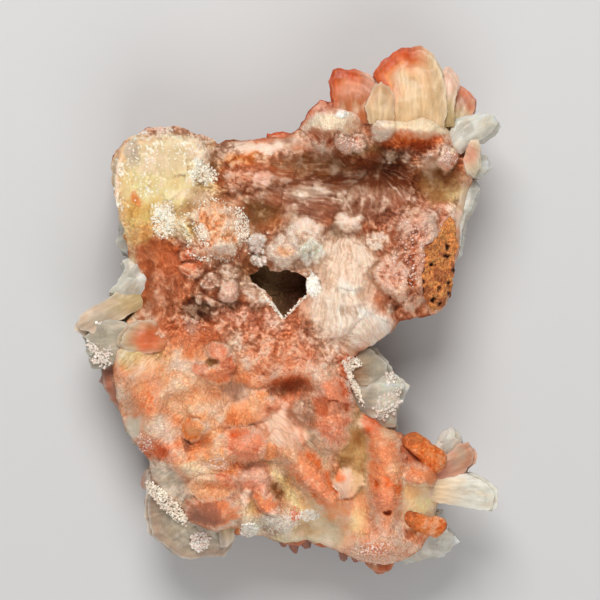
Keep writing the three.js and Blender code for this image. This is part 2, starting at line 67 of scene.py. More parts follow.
MASS_RIM = [
    (-35.8, 28), (-35.4, 31), (-33.2, 33.8), (-30.4, 35.4), (-28.4, 36.8), (-23.2, 36.8), (-20, 35.8),
    (-17.2, 34.8), (-14.4, 33.4), (-12.8, 34), (-10, 34), (-5.2, 34.6), (-1, 34.6), (1.8, 36.4), (3.6, 39.8),
    (6, 42.2), (11, 41.6), (14.6, 40.6), (15.4, 38), (17, 39), (20, 38.4), (22.6, 38.4), (26, 39.8),
    (29, 38.6), (32, 36.2), (34, 34), (35.4, 31), (36.4, 28.6), (36.8, 26), (36, 21), (34.8, 17), (34, 12),
    (33, 8), (32.4, 4), (31.4, 0.8), (29.4, -0.8), (25, -1.6), (22, -2.2), (19.4, -5.2), (16.4, -7.4),
    (14, -8.4), (12.4, -11.2), (12.4, -16.4), (14.4, -20.4), (19, -23.6), (22.6, -25.2), (26, -27.6),
    (29, -30.4), (30.6, -34), (30, -38), (29.2, -41), (28.4, -45), (26, -48.4), (22.4, -50.4), (19, -51.2),
    (14.4, -50.4), (11, -49.2), (8, -47.8), (3.6, -46.2), (-1, -47), (-5.6, -45.4), (-10, -45.2), (-15, -45),
    (-20, -42.8), (-25, -37.6), (-28, -34), (-28.4, -30.4), (-30.4, -27.4), (-32.8, -24.6), (-34.2, -21),
    (-35, -17), (-35.6, -13), (-35.2, -8), (-34.4, -5), (-32.4, -1.6), (-30.4, 1), (-31.2, 5), (-32.4, 9.6),
    (-32.8, 14), (-33.8, 18),
]
POCKET_MOUTH = [
    (-7.8, 6.8), (-6.8, 7.8), (-4.6, 9), (-3.8, 7.8), (-0.4, 7.8), (2, 7.4), (3.6, 6.4), (3.2, 4.8),
    (3.6, 3.2), (2, 2), (0.6, 0.8), (-1, -1.2), (-2, -1), (-3, 0), (-3.8, 2.8), (-5.2, 4.4), (-6.6, 4.8),
    (-7.6, 5.6),
]
MATRIX_RIM = [
    (30.4, 17.4), (32, 19.4), (33.4, 16.6), (33.2, 12), (32.8, 8), (32.2, 4), (31.4, 1), (30, -0.1),
    (28.2, 0.2), (27, 1.2), (26, 4.6), (25.8, 7.2), (27, 10.4), (26.4, 12.8), (28, 13.6), (29.4, 15),
]

# The flat pale block at the upper left
BLOCK_RIM = [
    (-36.4, 5), (-36.2, 29), (-34.6, 33), (-31.4, 35.8), (-26, 37), (-20, 36), (-14.8, 34), (-16.8, 31),
    (-18.8, 27.4), (-20.4, 24), (-21.6, 19.6), (-23, 16), (-25, 5),
]

# Swellings and hollows of the face: x, y, half length, half width, turn in degrees, rise
FACE_FORMS = [
    # top lobes and the lip above the shaded hollow
    (24.6, 36.4, 9.6, 3.2, -8, 7), (8, 37.2, 6.2, 4.4, 8, 6.5), (17.8, 36.6, 2.4, 2.6, 0, 3),
    (30, 31, 3.2, 2.8, 30, 3.5), (-6, 30, 9, 3.4, 2, 2.2), (-7, 25, 5, 3.6, 10, 1.6),
    # the shaded hollow and the olive recess
    (8, 28.2, 16, 3, -6, -5), (19, 29.4, 4, 3.6, 0, -3), (30, 25.6, 5, 4, 20, -2.8),
    # rose lumps at the right
    (25.6, 15.6, 4, 6.4, 12, 4), (22, 6, 4.6, 5, 0, 3), (14, 9, 6, 5, 0, 1.4),
    # ridges, knob and silky slope in the middle
    (4, 14.6, 4.2, 5, 20, 3), (12, 17.4, 3, 2.8, 0, 2.6), (8.4, 15, 1.8, 1.4, 0, -1.2),
    (-1.2, 11.6, 3.4, 3.4, 0, 3), (11, -1, 11, 5, -38, 2.4), (2, 22, 8, 2.6, -5, 1.6),
    # frosted lump and the olive hollows beside it
    (-15.6, 16, 6, 6, 0, 4), (-7, 19, 4.2, 3, -10, -1.8), (-8, 7.6, 2.4, 3, 0, -2),
    (-12.2, 4, 2.2, 2.4, 0, 2.6),
    # pale block with the cleft at its right side
    (-26.5, 26, 8.5, 9, 0, 2.4), (-14.8, 30, 1.8, 4, 15, -2.2), (-22.5, 16.6, 4, 3, 30, 1.6),
    # left flank, falling outwards, and salmon shoulder
    (-30, 6, 3, 10, 0, -2.2), (-20, 3, 7, 7, 0, 2.6), (-12.5, -4, 5, 4, 0, 2),
    # orange lumps of the lower left
    (-28, -17, 4.2, 4.6, 10, 5), (-21, -13.4, 4.6, 4.2, 0, 4.6), (-15, -10.6, 3.2, 3, 0, 4.4),
    (-26.4, -24, 4.4, 4, 0, 4.4), (-17, -21.6, 4.4, 4, 20, 5), (-13, -27.4, 4, 3.4, 10, 4.4),
    (-20.4, -29.4, 4.2, 3.2, 0, 4), (-13, -32.6, 8, 2, 0, 2.6), (-7.6, -26.8, 3.2, 3, 0, 4),
    # rough centre with its crevice and fibrous valleys
    (-2, -9, 8, 5, 0, 2.6), (-0.6, -15.6, 5, 2.2, 14, -2.6), (-10.4, -16, 2.4, 2.2, 0, -2),
    (-2, -21.6, 4.2, 3.2, -32, -2.4), (5, -13, 3, 2.4, 0, 2),
    # ridges, column and lumps of the lower right
    (4, -32.6, 10.5, 2.9, -47, 5.2), (8.6, -17, 4.4, 2.4, -45, 3.6), (8.4, -23.6, 3.8, 4.2, 0, 5),
    (19, -32, 3.4, 12, 0, 5.2), (26, -32.8, 3.2, 2.4, 10, 5), (13.6, -31.6, 2.2, 9, -12, -1.6),
    (-2.4, -36.4, 2.4, 3, -40, -1.2), (14.6, -25.4, 1.3, 2, 0, -2), (11, -30.4, 1.4, 1.2, 0, -1.4),
    # bottom edge
    (17, -47.4, 5, 4, 0, 4), (7, -44, 6, 4.4, 0, -2.6), (-15, -40.4, 4.6, 3.4, 0, 6),
    (-4.4, -39, 2.4, 3.2, 10, 3.4), (-1.6, -42, 3.4, 2.4, 0, 2.6), (-8, -42, 2.6, 2.6, 0, 1.6),
    (24.4, -36.4, 3, 3, 0, 1.6),
]
BACK_FORMS = [
    (-20, 18, 13, 14, 0, 3.5), (16, 24, 15, 12, 0, 3), (-14, -18, 16, 15, 0, 4), (14, -36, 13, 11, 0, 3.5),
    (-2, 4, 10, 10, 0, 2), (-2, -40, 8, 8, 0, 2),
]

# Colours of the stone as the eye names them, in sRGB
TONES = {
    "salmon": (214, 142, 112), "rose": (208, 142, 122), "orange": (234, 126, 70), "bright": (238, 120, 56),
    "amber": (222, 134, 70), "ember": (200, 104, 52), "finger": (228, 132, 68), "rust": (158, 84, 54),
    "red": (206, 84, 30), "brick": (178, 74, 36), "wine": (146, 70, 50), "coral": (224, 114, 74),
    "red salmon": (210, 98, 58), "raw": (186, 104, 70), "flank": (198, 120, 82), "apricot": (240, 168, 124),
    "peach": (242, 186, 150), "pink": (228, 164, 142), "blush": (242, 212, 194), "shell": (240, 212, 192),
    "cream": (240, 214, 182), "white": (250, 245, 234), "silk": (228, 208, 192),
    "dull silk": (194, 168, 152), "ice": (236, 232, 220), "mauve": (196, 146, 136), "grey": (184, 172, 158),
    "haze": (190, 154, 136), "ash": (206, 196, 178), "dust": (170, 138, 122), "rose brown": (166, 118, 100),
    "bark": (134, 90, 70), "umber rose": (156, 98, 72), "tan": (176, 130, 94), "umber": (120, 74, 50),
    "dark": (96, 52, 26), "olive": (146, 112, 74), "moss": (184, 150, 108), "reed": (200, 176, 134),
    # The bright gold at the end of the next line is painted light, laid where slopes lie in shade
    "straw": (226, 208, 162), "sand": (216, 198, 168), "gold": (216, 184, 118), "painted gold light": (246, 192, 136),
    "frost": (255, 249, 230), "dull cream": (222, 202, 170), "beige": (196, 172, 142),
    "fringe": (222, 188, 150),
    "scab": (222, 138, 72), "ochre": (232, 172, 96), "iron": (158, 76, 36), "pit": (70, 34, 14),
}

# Coloured places of the face, later over earlier: x, y, half length, half width, turn, tone, strength
PAINT = [
    # upper left: the pale block and its rim
    (-24.8, 25.6, 11.5, 11, 0, "straw", 1), (-28, 19, 6.5, 3, 0, "gold", 0.8),
    (-24, 35.6, 9.5, 1.8, 0, "mauve", 0.8), (-24, 31, 8, 4.4, 0, "dull cream", 0.9),
    (-31.3, 31.2, 1.9, 2.9, 0, "grey", 0.85), (-34.6, 22.5, 1.2, 7, 0, "beige", 0.9),
    (-17.2, 27.4, 3, 2.4, 0, "cream", 0.8), (-24.9, 17.7, 2.6, 3.6, 0, "cream", 0.6),
    (-30.4, 21.7, 0.8, 1.4, 25, "orange", 0.6), (-15.4, 29.4, 1.4, 3.8, 15, "tan", 0.7),
    # the flank under the block; the gold and cream at its top are lightened as painted light where the slope
    # faces away from the lamp
    (-28.6, 16, 5.4, 2.4, 0, "gold", 0.9), (-24, 16, 3, 2.4, 0, "cream", 0.7),
    (-23.6, 13, 5.4, 1.8, 0, "ember", 0.8), (-26, 5, 6.4, 10.4, 0, "flank", 1),
    (-31.8, 4.6, 1.5, 9, 0, "beige", 0.9), (-23, -3.4, 6, 3, 0, "salmon", 0.7),
    # left middle, with the brown hollow partly darkened as painted shade
    (-14.6, 6, 6, 4, 0, "umber rose", 0.95), (-19.6, 9.6, 2, 3, 0, "coral", 0.6),
    (-7, 3.2, 3.8, 2.2, -38, "blush", 0.85), (-13, 1, 9, 1.2, -6, "umber", 0.75),
    (-18, 0.2, 4.6, 2.2, -6, "bark", 0.9), (-9, -1.4, 7, 1.6, -8, "rose", 0.7),
    # the olive shade beside the frosted lump
    (-5.6, 19, 5.2, 3.8, 0, "tan", 0.9), (-7, 19.4, 3.6, 2.6, 0, "olive", 0.9),
    (-8.4, 7.8, 2.4, 2.6, 0, "tan", 0.9), (-12, 24, 2.6, 2.2, 0, "tan", 0.8),
    (-19.8, 20.6, 4, 2, 30, "moss", 0.7),
    # top edge
    (-11.8, 32, 4, 2, 0, "haze", 0.9), (-0.4, 33, 3.4, 1.3, 0, "dust", 0.8),
    (-6.6, 32.2, 4.2, 1.3, 0, "blush", 0.95), (-8, 29.9, 5.8, 1.6, 0, "amber", 0.95),
    (-9, 26, 5.4, 3.4, 0, "raw", 1), (-0.8, 30, 4.4, 1.8, 0, "haze", 0.8),
    # the shaded hollow with its silk: its browns are partly its own colour and partly painted shade, darkest
    # under the lip
    (11, 24, 14.5, 7.4, 0, "bark", 1), (-3, 23.4, 4.4, 2.4, 0, "umber rose", 0.9),
    (24, 24, 3, 4.4, 0, "umber", 0.8), (5, 29, 9, 2, 0, "tan", 0.8), (20.6, 29.8, 4, 3.4, 0, "umber", 0.95),
    (21, 31, 2.6, 1.8, 0, "dark", 0.7), (15, 32, 4, 1.6, 0, "olive", 0.8),
    (30, 25.6, 5.4, 5.4, 0, "olive", 0.9), (29, 24.4, 3, 3, 0, "moss", 0.7),
    (33, 22.6, 2.4, 2.4, 0, "reed", 0.8), (5, 19.8, 7.4, 2.2, 0, "rose brown", 0.85),
    (4.2, 23.2, 5, 1.3, 2, "dull silk", 0.75), (17.4, 20, 5, 3.6, 0, "rose brown", 0.8),
    (22, 20.4, 4, 2, 0, "rose brown", 0.7),
    # lobe at the top and the root band of the crown
    (8, 38, 7.4, 6, 0, "blush", 0.9), (4.2, 40, 2.2, 5.6, -40, "red", 0.9),
    (8.6, 38, 5.6, 2.6, 0, "shell", 0.9), (13.4, 38.6, 2.2, 2.6, 0, "pink", 0.7),
    (7, 33.4, 4, 2.4, 0, "raw", 0.95), (26, 33.6, 8.4, 2.2, 0, "orange", 1),
    (27, 31.6, 5, 1.6, 0, "rose brown", 0.9),
    # right
    (25.6, 14, 6, 9, 10, "rose", 0.9), (30, 19, 4, 2.4, 20, "rose", 0.8),
    (24, 20, 2.4, 2, 0, "umber rose", 0.7), (21, 1.8, 1.8, 2, 0, "umber rose", 0.8),
    (24.6, 4, 2.4, 3.4, 0, "raw", 0.8), (35.6, 17, 2, 9, 6, "grey", 0.85),
    # middle
    (1.4, 12.4, 6, 5, 0, "blush", 0.9), (9, 15.2, 2.2, 1.5, 0, "grey", 0.9), (11, 9, 7, 6, 0, "shell", 0.85),
    (9.6, 0, 7.4, 7.4, -35, "shell", 0.9), (12.4, -0.2, 4.4, 2.4, -30, "dull silk", 0.9),
    (15.6, -3.4, 7.4, 4.4, -35, "white", 0.8), (4.6, 5, 1.4, 2.4, 0, "white", 1),
    (9.6, -6.4, 4, 2.4, -30, "ash", 0.6),
    # rough centre
    (-1, -8, 11, 6.4, 0, "salmon", 1), (6, -8, 5, 4, 0, "pink", 0.7), (-4, -2.6, 5, 2, 0, "rose", 0.6),
    (-12, -8, 3, 4, 0, "haze", 0.6), (-0.6, -14.6, 5, 1.4, 8, "raw", 0.8),
    (12.6, -12, 3, 3, 0, "coral", 0.8),
    # orange clouds of the lower left over pale stone
    (-31.2, -9.6, 4, 3, 0, "reed", 1), (-25.6, -10.2, 4.4, 2.4, 0, "fringe", 0.95),
    (-20, -17, 14, 10, 0, "peach", 0.95), (-22, -18.6, 3, 2, 0, "straw", 0.6),
    (-21, -10.8, 4.4, 1.4, 0, "blush", 0.7), (-11.4, -15.8, 3.4, 2, -40, "haze", 1),
    (-25, -24, 3.6, 2.4, 0, "blush", 0.8), (-27.4, -27.4, 3, 2.4, 0, "coral", 0.7),
    (-14, -28, 7, 6, 0, "apricot", 0.9), (-18, -31.6, 4, 2, 0, "cream", 0.8),
    (-15, -16, 3, 2.4, 0, "peach", 0.9), (-31.8, -24.4, 1.8, 5.4, -25, "ash", 0.95),
    (-24, -34.6, 3, 6.4, 42, "grey", 1), (-7, -34.4, 4, 4.4, 0, "pink", 0.9),
    # lower right: ridges and column over pale fibres
    (-2, -22.6, 6, 3.2, -52, "blush", 0.9), (3, -20, 3.6, 3.4, 0, "dust", 0.95),
    (13, -30, 4.4, 11, -6, "reed", 1), (12, -26, 2, 3, 0, "moss", 0.7), (6, -26.6, 4, 2, -45, "ash", 0.9),
    (2.6, -34.6, 10.6, 5, -50, "sand", 1), (2, -44, 12, 5, 0, "sand", 1),
    (1.4, -36, 3.2, 6.8, 28, "fringe", 0.95), (-2.4, -35.8, 1.8, 2.6, -30, "olive", 0.9),
    (26, -39, 4, 5.6, 0, "fringe", 1), (12.6, -41.4, 3.4, 5, 0, "peach", 0.9),
    (24, -35.6, 3.4, 4, 0, "cream", 1), (27, -41, 4, 3, 0, "sand", 0.9),
    # bottom edge
    (-4, -42.4, 6, 2.4, 0, "ash", 0.8), (6, -44.6, 5, 3, -20, "ash", 0.7),
    (-9.6, -40, 2, 2.4, 0, "sand", 0.9), (17.2, -47.6, 6, 5, 0, "pink", 0.9),
]

# Lumps and pits with an edge of their own: x, y, half length, half width, turn, rise, softness of the
# edge, tone, strength
LUMPS = [
    # frosted lump, shards and bumps at its foot
    (-15, 15.6, 6.5, 6.2, 0, 1.6, 0.5, "peach", 0.95), (-19.6, 16.4, 2, 3.4, 0, -0.5, 0.6, "moss", 0.8),
    (-15.2, 18.6, 3.8, 4, 0, -0.4, 0.9, "apricot", 0.95), (-12.4, 12.6, 3, 2.4, 0, 0.5, 0.5, "apricot", 0.8),
    (-6.6, 13.2, 1.8, 2.4, 10, 1.4, 0.25, "dull silk", 0.9),
    (-6.2, 9.7, 1.9, 1.2, 10, 1.0, 0.4, "silk", 0.8), (-19.6, 11.2, 1.9, 1.5, 20, 1.1, 0.35, "coral", 0.8),
    (-19.8, 7.8, 1.8, 1.5, 0, 0.9, 0.35, "coral", 0.6),
    (-15.6, 5.4, 2, 1.5, 0, 0.9, 0.35, "rose brown", 0.8), (-11.8, 4, 2, 2.1, 0, 1.6, 0.3, "pink", 0.95),
    (-16.2, 1.8, 3, 0.9, -8, 0.9, 0.35, "rose", 0.6),
    # top edge and lobe
    (-9.6, 25.6, 3.8, 2.5, 0, 1.2, 0.5, "raw", 0.9), (-5.2, 26, 2, 1.6, 0, 0.9, 0.35, "rose", 0.7),
    (8.2, 37, 5.6, 3, 6, 1.0, 0.5, "cream", 0.6), (10.2, 38.6, 1.4, 1, 0, 0.5, 0.4, "white", 1),
    (11, 32.8, 1.9, 1.5, 0, 1.5, 0.25, "pink", 0.95), (13.8, 33.2, 1.3, 1.6, 0, 1.3, 0.25, "pink", 0.95),
    (25.4, 36.8, 8.8, 2.9, -4, 1.2, 0.6, "cream", 0.9), (18.4, 36.4, 2.1, 2.1, 0, 1.2, 0.25, "shell", 0.95),
    (31.4, 30.2, 1.8, 2.2, 0, 1.4, 0.3, "pink", 0.95),
    # middle and right
    (-1.4, 11.6, 3.2, 3.3, 0, 1.8, 0.25, "blush", 0.95), (-1, 11.4, 2.2, 1.7, 0, 0, 0.9, "apricot", 0.9),
    (3, 15.2, 3.6, 3.2, 0, 1.6, 0.25, "blush", 0.9), (11.6, 17.4, 2.5, 2, 12, 1.3, 0.45, "blush", 0.8),
    (11.4, 9, 5.4, 6, 0, 1, 0.45, "shell", 0.8), (4.2, 11.2, 2.8, 2.6, 0, 1, 0.4, "white", 0.8),
    (25.6, 16.4, 3.8, 4.6, 8, 1.0, 0.6, "rose", 0.8), (20.6, 7.4, 3.6, 4, 0, 1.3, 0.4, "pink", 0.9),
    (23.4, 3, 2.6, 2.6, 0, 0.9, 0.4, "salmon", 0.5), (17, 14, 2.2, 2, 0, 0.9, 0.4, "blush", 0.8),
    (9, 0, 4.6, 7.4, -20, 0.9, 0.5, "silk", 0.7), (15.6, -4, 5, 2.6, -35, 0.4, 0.6, "shell", 0.7),
    # lower left
    (-28.4, -17.2, 4.8, 5.2, 0, 1.2, 0.6, "orange", 0.95), (-29.2, -15.4, 2.2, 1.7, 0, 0, 0.9, "amber", 0.9),
    (-18, -17, 7.2, 5.4, 0, 1.1, 0.6, "peach", 0.8), (-14.4, -8.4, 2.4, 1.5, -10, 1.9, 0.25, "coral", 0.95),
    (-12.5, -10.4, 1.6, 2.4, 0, 1.9, 0.25, "coral", 0.95),
    (-14.4, -12.8, 2.4, 1.6, 0, 1.9, 0.25, "orange", 0.95),
    (-17.4, -12, 2, 1.4, -20, 0.9, 0.3, "coral", 0.9), (-15.8, -10.6, 1.5, 1.1, 0, -1, 0.8, "moss", 0.9),
    (-8.6, -20, 5.8, 2.7, 26, 1.7, 0.25, "apricot", 0.95),
    (-19.4, -23.8, 2.9, 1.8, 10, 1.5, 0.2, "amber", 0.98),
    (-19.8, -26.4, 2.2, 1.6, 0, -0.5, 0.7, "rose brown", 0.9),
    (-17.6, -20.6, 1.8, 1.6, 0, 0.3, 0.8, "amber", 0.8),
    (-8.6, -26.4, 4.4, 3.3, 0, 1.5, 0.35, "coral", 0.95),
    (-14.4, -28.6, 3.6, 2.6, 0, 0.9, 0.45, "apricot", 0.8), (-7, -34, 2.6, 3.2, 0, 1.3, 0.3, "pink", 0.9),
    (-8.6, -37.4, 1.1, 1.8, 0, 0.9, 0.3, "blush", 0.9), (-15.4, -35.4, 4.5, 2.5, 5, 1.5, 0.2, "peach", 0.98),
    (-12.6, -33.6, 2.4, 1.3, -30, 0.7, 0.3, "coral", 0.8),
    (-15.4, -40.2, 5.4, 3.3, 0, 2.2, 0.2, "orange", 0.98), (-17.4, -40.6, 4.8, 3.8, 0, 0, 0.8, "brick", 1),
    (-4.4, -38.4, 3.2, 1.6, -42, 2, 0.2, "orange", 0.98), (-3.2, -28, 3, 1.5, 8, 1.2, 0.35, "apricot", 0.9),
    # lower right
    (4.6, -33.2, 10, 3.1, -50, 1.5, 0.25, "orange", 0.95), (7.4, -36.6, 3, 1.8, -50, 0.2, 0.8, "coral", 0.8),
    (9, -39, 2.8, 3, 0, 1, 0.5, "apricot", 0.9), (8.4, -21, 3.7, 6, 6, 1.4, 0.3, "red salmon", 0.98),
    (9.6, -15.8, 4.4, 2, -36, 1.6, 0.3, "coral", 0.98), (9.8, -20.2, 2.4, 1.7, 0, -0.4, 1, "raw", 0.6),
    (11.6, -34.2, 2.8, 2.9, 12, 2.2, 0.15, "shell", 0.98),
    (-11.2, -15.8, 2.8, 2, -40, 0, 0.7, "dull silk", 0.95),
    (19, -32, 3.3, 12.2, 0, 1.5, 0.25, "orange", 0.95), (17, -22.6, 2.9, 3, 0, 1.1, 0.35, "coral", 0.9),
    (20.4, -24.6, 2.2, 2.4, 0, 0.8, 0.6, "apricot", 0.8), (18, -27.8, 2.8, 2.2, 0, 0.8, 0.4, "orange", 0.8),
    (20.8, -31.6, 2.2, 2.8, 0, 0.9, 0.4, "apricot", 0.8), (18.8, -37.8, 3, 2.6, 0, 0.9, 0.35, "coral", 0.8),
    (0.4, -28.4, 2.4, 2.2, 0, 0.7, 0.4, "apricot", 0.8), (5, -34, 2.8, 2.4, -30, 0.8, 0.4, "coral", 0.7),
    (8.4, -37.6, 2.4, 2.2, 0, 0.7, 0.4, "orange", 0.7), (19.6, -34, 1.8, 5, 0, 0.4, 0.7, "bright", 0.6),
    (16.8, -34.4, 1.6, 1.8, 0, 0.8, 0.3, "bright", 0.9), (16.8, -34.6, 0.8, 1, 0, -0.8, 0.7, "ember", 0.8),
    (19.2, -40.3, 1.3, 0.9, 0, -0.9, 0.7, "wine", 0.8), (26.2, -32.6, 3.8, 2.3, 0, 1.5, 0.3, "bright", 0.98),
    (17, -48, 4.8, 3.4, 0, 1.2, 0.35, "salmon", 0.9),
]

# Stains and shades that lie over the lumps, some of them painted shade and painted light as marked: x, y,
# # half length, half width, turn, tone, strength
STAINS = [
    (4.4, 40.2, 2.4, 5.4, -40, "red", 0.8), (10, 41.6, 6, 2.2, 0, "red", 0.7),
    (13.6, 38.4, 2, 3, 0, "pink", 0.7), (6.6, 34.4, 3.6, 1.8, 0, "raw", 0.8),
    (23, 33.2, 6.4, 1.3, -6, "orange", 0.7), (21, 36.6, 3, 1.6, 0, "cream", 0.8),
    (29, 36.4, 4, 1.8, -10, "cream", 0.8), (27, 32.4, 5, 1.4, 0, "raw", 0.6),
    # Over the hollow under the lip, the bark and umber rows are partly its brown colour and partly painted
    # shade
    (-2, 24, 5.4, 2.4, 0, "bark", 0.7), (13, 24.6, 6, 2.6, 0, "bark", 0.95),
    # The dark row at (-17, 0.4) is painted shade in the hollow at the left middle
    (23, 24.6, 3, 3, 0, "umber", 0.6), (-17, 0.4, 5.4, 3, -6, "dark", 0.95),
    (-25, 4, 5, 8.4, 0, "raw", 0.85), (-23.4, 3, 3, 6, 0, "umber rose", 0.7),
    (24, 11.6, 3, 4, 0, "raw", 0.6), (20, -48, 3, 2.6, 0, "salmon", 0.8),
    (-12, -12, 2.4, 2.2, 0, "raw", 0.65), (-16, 12, 2.6, 2, 0, "salmon", 0.7),
    # The bright gold row at (-31, 15) is painted light on the shaded slope under the pale block
    (-31, 15, 4, 2.8, 0, "painted gold light", 1), (-3, -12, 5, 2.4, 0, "raw", 0.6),
    (-8, 24, 4, 2.4, 0, "umber rose", 0.9), (-8, 28.4, 5, 2.2, 0, "raw", 0.6),
    (11.6, 4.4, 3, 2, 0, "white", 0.6), (12, -0.4, 3, 1.8, 0, "dull silk", 0.8),
    (-32, -8.6, 2.6, 3.4, 0, "reed", 0.9), (-27, -8.4, 2.6, 2, 0, "moss", 0.6),
    (-7.4, -39.6, 2, 2, 0, "reed", 0.8), (-16.8, -40.2, 5, 3.8, 0, "wine", 0.9),
    (-16.4, -40.2, 4.4, 3.4, 0, "dark", 0.35), (-12.4, 12.4, 2.6, 2, 0, "blush", 0.9),
    (12, 16, 2.6, 2.2, 0, "haze", 0.8), (-20, 16, 1.8, 2.4, 0, "gold", 0.6),
    (-4, -19.4, 3, 1.8, 26, "salmon", 0.8), (8.4, -21, 3.6, 4.6, 0, "ember", 0.6),
    # The umber row at (0, -15.4) is painted shade in the crevice
    (8.2, -19.6, 3, 2.4, 0, "rust", 0.7), (0, -15.4, 5.4, 1.7, 10, "umber", 0.7),
    (24.6, 4.6, 2.4, 3.6, 0, "raw", 1), (8.6, -24, 2.8, 2.8, 0, "brick", 0.75),
    # The bright gold row at (-28.6, 16.2), and the cream beside it, are painted light on that slope
    (-28.6, 16.2, 5, 2, 0, "painted gold light", 0.95), (-23.6, 16, 4, 2.4, 0, "cream", 0.9),
    (-28.6, -19, 3, 3.4, 0, "orange", 0.7), (-28.6, -15, 1.8, 1.4, 0, "ember", 0.7),
    (-1.4, -25, 4.6, 1.9, -55, "shell", 0.75), (2.6, -21.4, 3, 1.5, -50, "dust", 0.7),
    (-0.2, -36, 8, 1.5, -56, "straw", 0.8), (13.6, -30.6, 1.6, 8, -4, "reed", 0.8),
    # The bright gold row at (24.6, -36) is painted light
    (24.6, -36, 3, 2.4, 0, "painted gold light", 0.85), (26, -39, 3, 2.4, 0, "straw", 0.85),
    (3.4, -44, 4, 2, -12, "moss", 0.5), (-4, -44, 3, 1.8, 0, "dust", 0.6),
    # The rust-toned row at (24, -44.2) is painted shadow under the lower finger
    (24, -44.2, 2.4, 2, 0, "rust", 0.7), (8, -8, 3.4, 3, 0, "shell", 0.5),
    (7, -31, 2, 1.4, -50, "cream", 0.7), (3.6, -4, 2.8, 2, 0, "rose brown", 0.7),
    (10.1, -32.6, 1.2, 2, 20, "orange", 0.8), (-12, -16, 2.6, 2, -30, "haze", 0.7),
    # The peach row at (20, -24) is painted light on the shaded slope at the top of the column
    (20, -24, 2.4, 2, 0, "peach", 0.9), (8.4, -40, 2.4, 2.4, 0, "apricot", 0.8),
    (8, 40.4, 5.4, 2.4, 0, "rose", 0.95), (12, 36, 2.2, 1.8, 0, "peach", 0.8),
    # The row at (3.8, 12) is painted light in the shaded dip between the lumps
    (3.8, 12, 3.4, 2.6, 0, "frost", 1), (6.2, -19, 2, 2.6, 0, "salmon", 0.9),
    (13.6, -42, 2, 4, 8, "straw", 0.6), (17.4, -30, 1.6, 7, 0, "bright", 0.6),
    (4.6, -32.4, 7, 1.2, -50, "bright", 0.6), (17.6, -47, 4, 2.4, 0, "coral", 0.6),
    (-24.4, -28, 3, 2.4, 0, "coral", 0.7),
]

# Kinds of surface: sugary druse, long silk, smooth glassy faces and crumbs over the wool everywhere else
DRUSE, SILK, GLASS, CRUMB = 0, 1, 2, 3
TEXTURE = [
    (-26, 26.4, 10, 9.6, 0, GLASS, 0.9), (-23, 35.8, 9, 1.8, 0, CRUMB, 0.9),
    (-25, 17.6, 3, 3.6, 0, DRUSE, 0.9), (-17.4, 27, 3, 2.4, 0, DRUSE, 0.9),
    (-15.2, 15.8, 6.6, 6.4, 0, DRUSE, 0.3), (-3.6, 33, 8, 1.8, 0, GLASS, 0.7),
    (-9, 25.6, 5, 3, 0, CRUMB, 0.9), (6, 25, 15, 6, -4, SILK, 0.95), (6, 20, 11, 4, -4, SILK, 0.95),
    (19, 26, 6, 6, 0, SILK, 0.8), (30, 26, 5, 5, 0, GLASS, 0.6), (9, 37.6, 6, 3.4, 0, GLASS, 0.3),
    (12, 33, 4, 2, 0, CRUMB, 0.9), (24.4, 32.4, 8, 2, 0, CRUMB, 0.7), (31.4, 30.2, 2, 2.4, 0, CRUMB, 1),
    (11, 0, 12, 8, -40, SILK, 1), (11, 10, 6, 6, 0, SILK, 0.7), (-6.6, 12.6, 2.4, 3.6, 0, DRUSE, 1),
    (-7.4, 18.6, 4.6, 4, 0, GLASS, 0.6), (-27, 5, 6, 10, 0, GLASS, 0.5), (25, 36.6, 9, 3, 0, GLASS, 0.6),
    (-1, -8, 12, 7, 0, CRUMB, 0.8), (-14.6, 3, 6, 5, 0, CRUMB, 0.6), (-10.4, -16, 3, 3, 0, SILK, 0.9),
    (-1.8, -22.6, 6, 4.4, 0, SILK, 0.9), (7, -43, 8, 6, 0, GLASS, 0.7), (13.6, -31, 3, 9, 0, GLASS, 0.5),
    (-31, -25, 3, 5, 0, GLASS, 0.7), (-24, -35, 4, 4, 0, SILK, 0.8), (25.4, -40, 4, 5, 0, GLASS, 0.7),
    (17.2, -47.6, 5, 4, 0, CRUMB, 0.9), (35.6, 17, 2.4, 10, 0, GLASS, 0.9), (-1.6, -42, 4, 3, 0, DRUSE, 0.7),
    (12.4, -14, 2, 4.6, 0, DRUSE, 0.8), (4.6, 5, 1.8, 3, 0, DRUSE, 1), (-28, -27, 3, 2.6, 0, CRUMB, 0.7),
    (-30.8, -10, 5, 3.4, 0, SILK, 0.8), (-15, -40.4, 5, 3, 0, GLASS, 0.5),
    (11.6, -34.2, 3, 3, 0, GLASS, 0.7),
]

# Places of the silky fibres, each with the root that they fan out from: x, y, root x, root y
FIBRE_ROOTS = [
    (-26, 30, -24, 44), (-15, 14, -15, 10), (-6, 28, -22, 30), (8, 38, 8, 32), (24, 42, 24, 30),
    (30, 26, 16, 30), (6, 23, -30, 27), (-26, 4, -24, 20), (26, 12, 38, 22), (14, 17, 16, 6), (3, 13, 4, 2),
    (12, 10, 12, 20), (20, 2, 20, 14), (9, 0, 9, 15), (16, -4, 6, 12), (-2, -6, 6, 2), (-12, 2, 4, 4),
    (-20, -3, -14, 8), (-29, -9, -18, 2), (-20, -17, -12, -8), (-29, -18, -24, -10), (-10, -16, -14, -6),
    (1, -15, 4, -6), (12, -10, 4, -4), (-26, -26, -16, -20), (-14, -27, -8, -20), (-3, -24, -12, -12),
    (8, -20, 4, -10), (18, -24, 14, -14), (20, -36, 18, -16), (5, -33, -10, -14), (-6, -34, -4, -24),
    (-18, -38, -10, -30), (-26, -36, -14, -26), (16, -48, 17, -36), (2, -44, 0, -28), (27, -39, 16, -28),
    (27, -32, 18, -28),
]

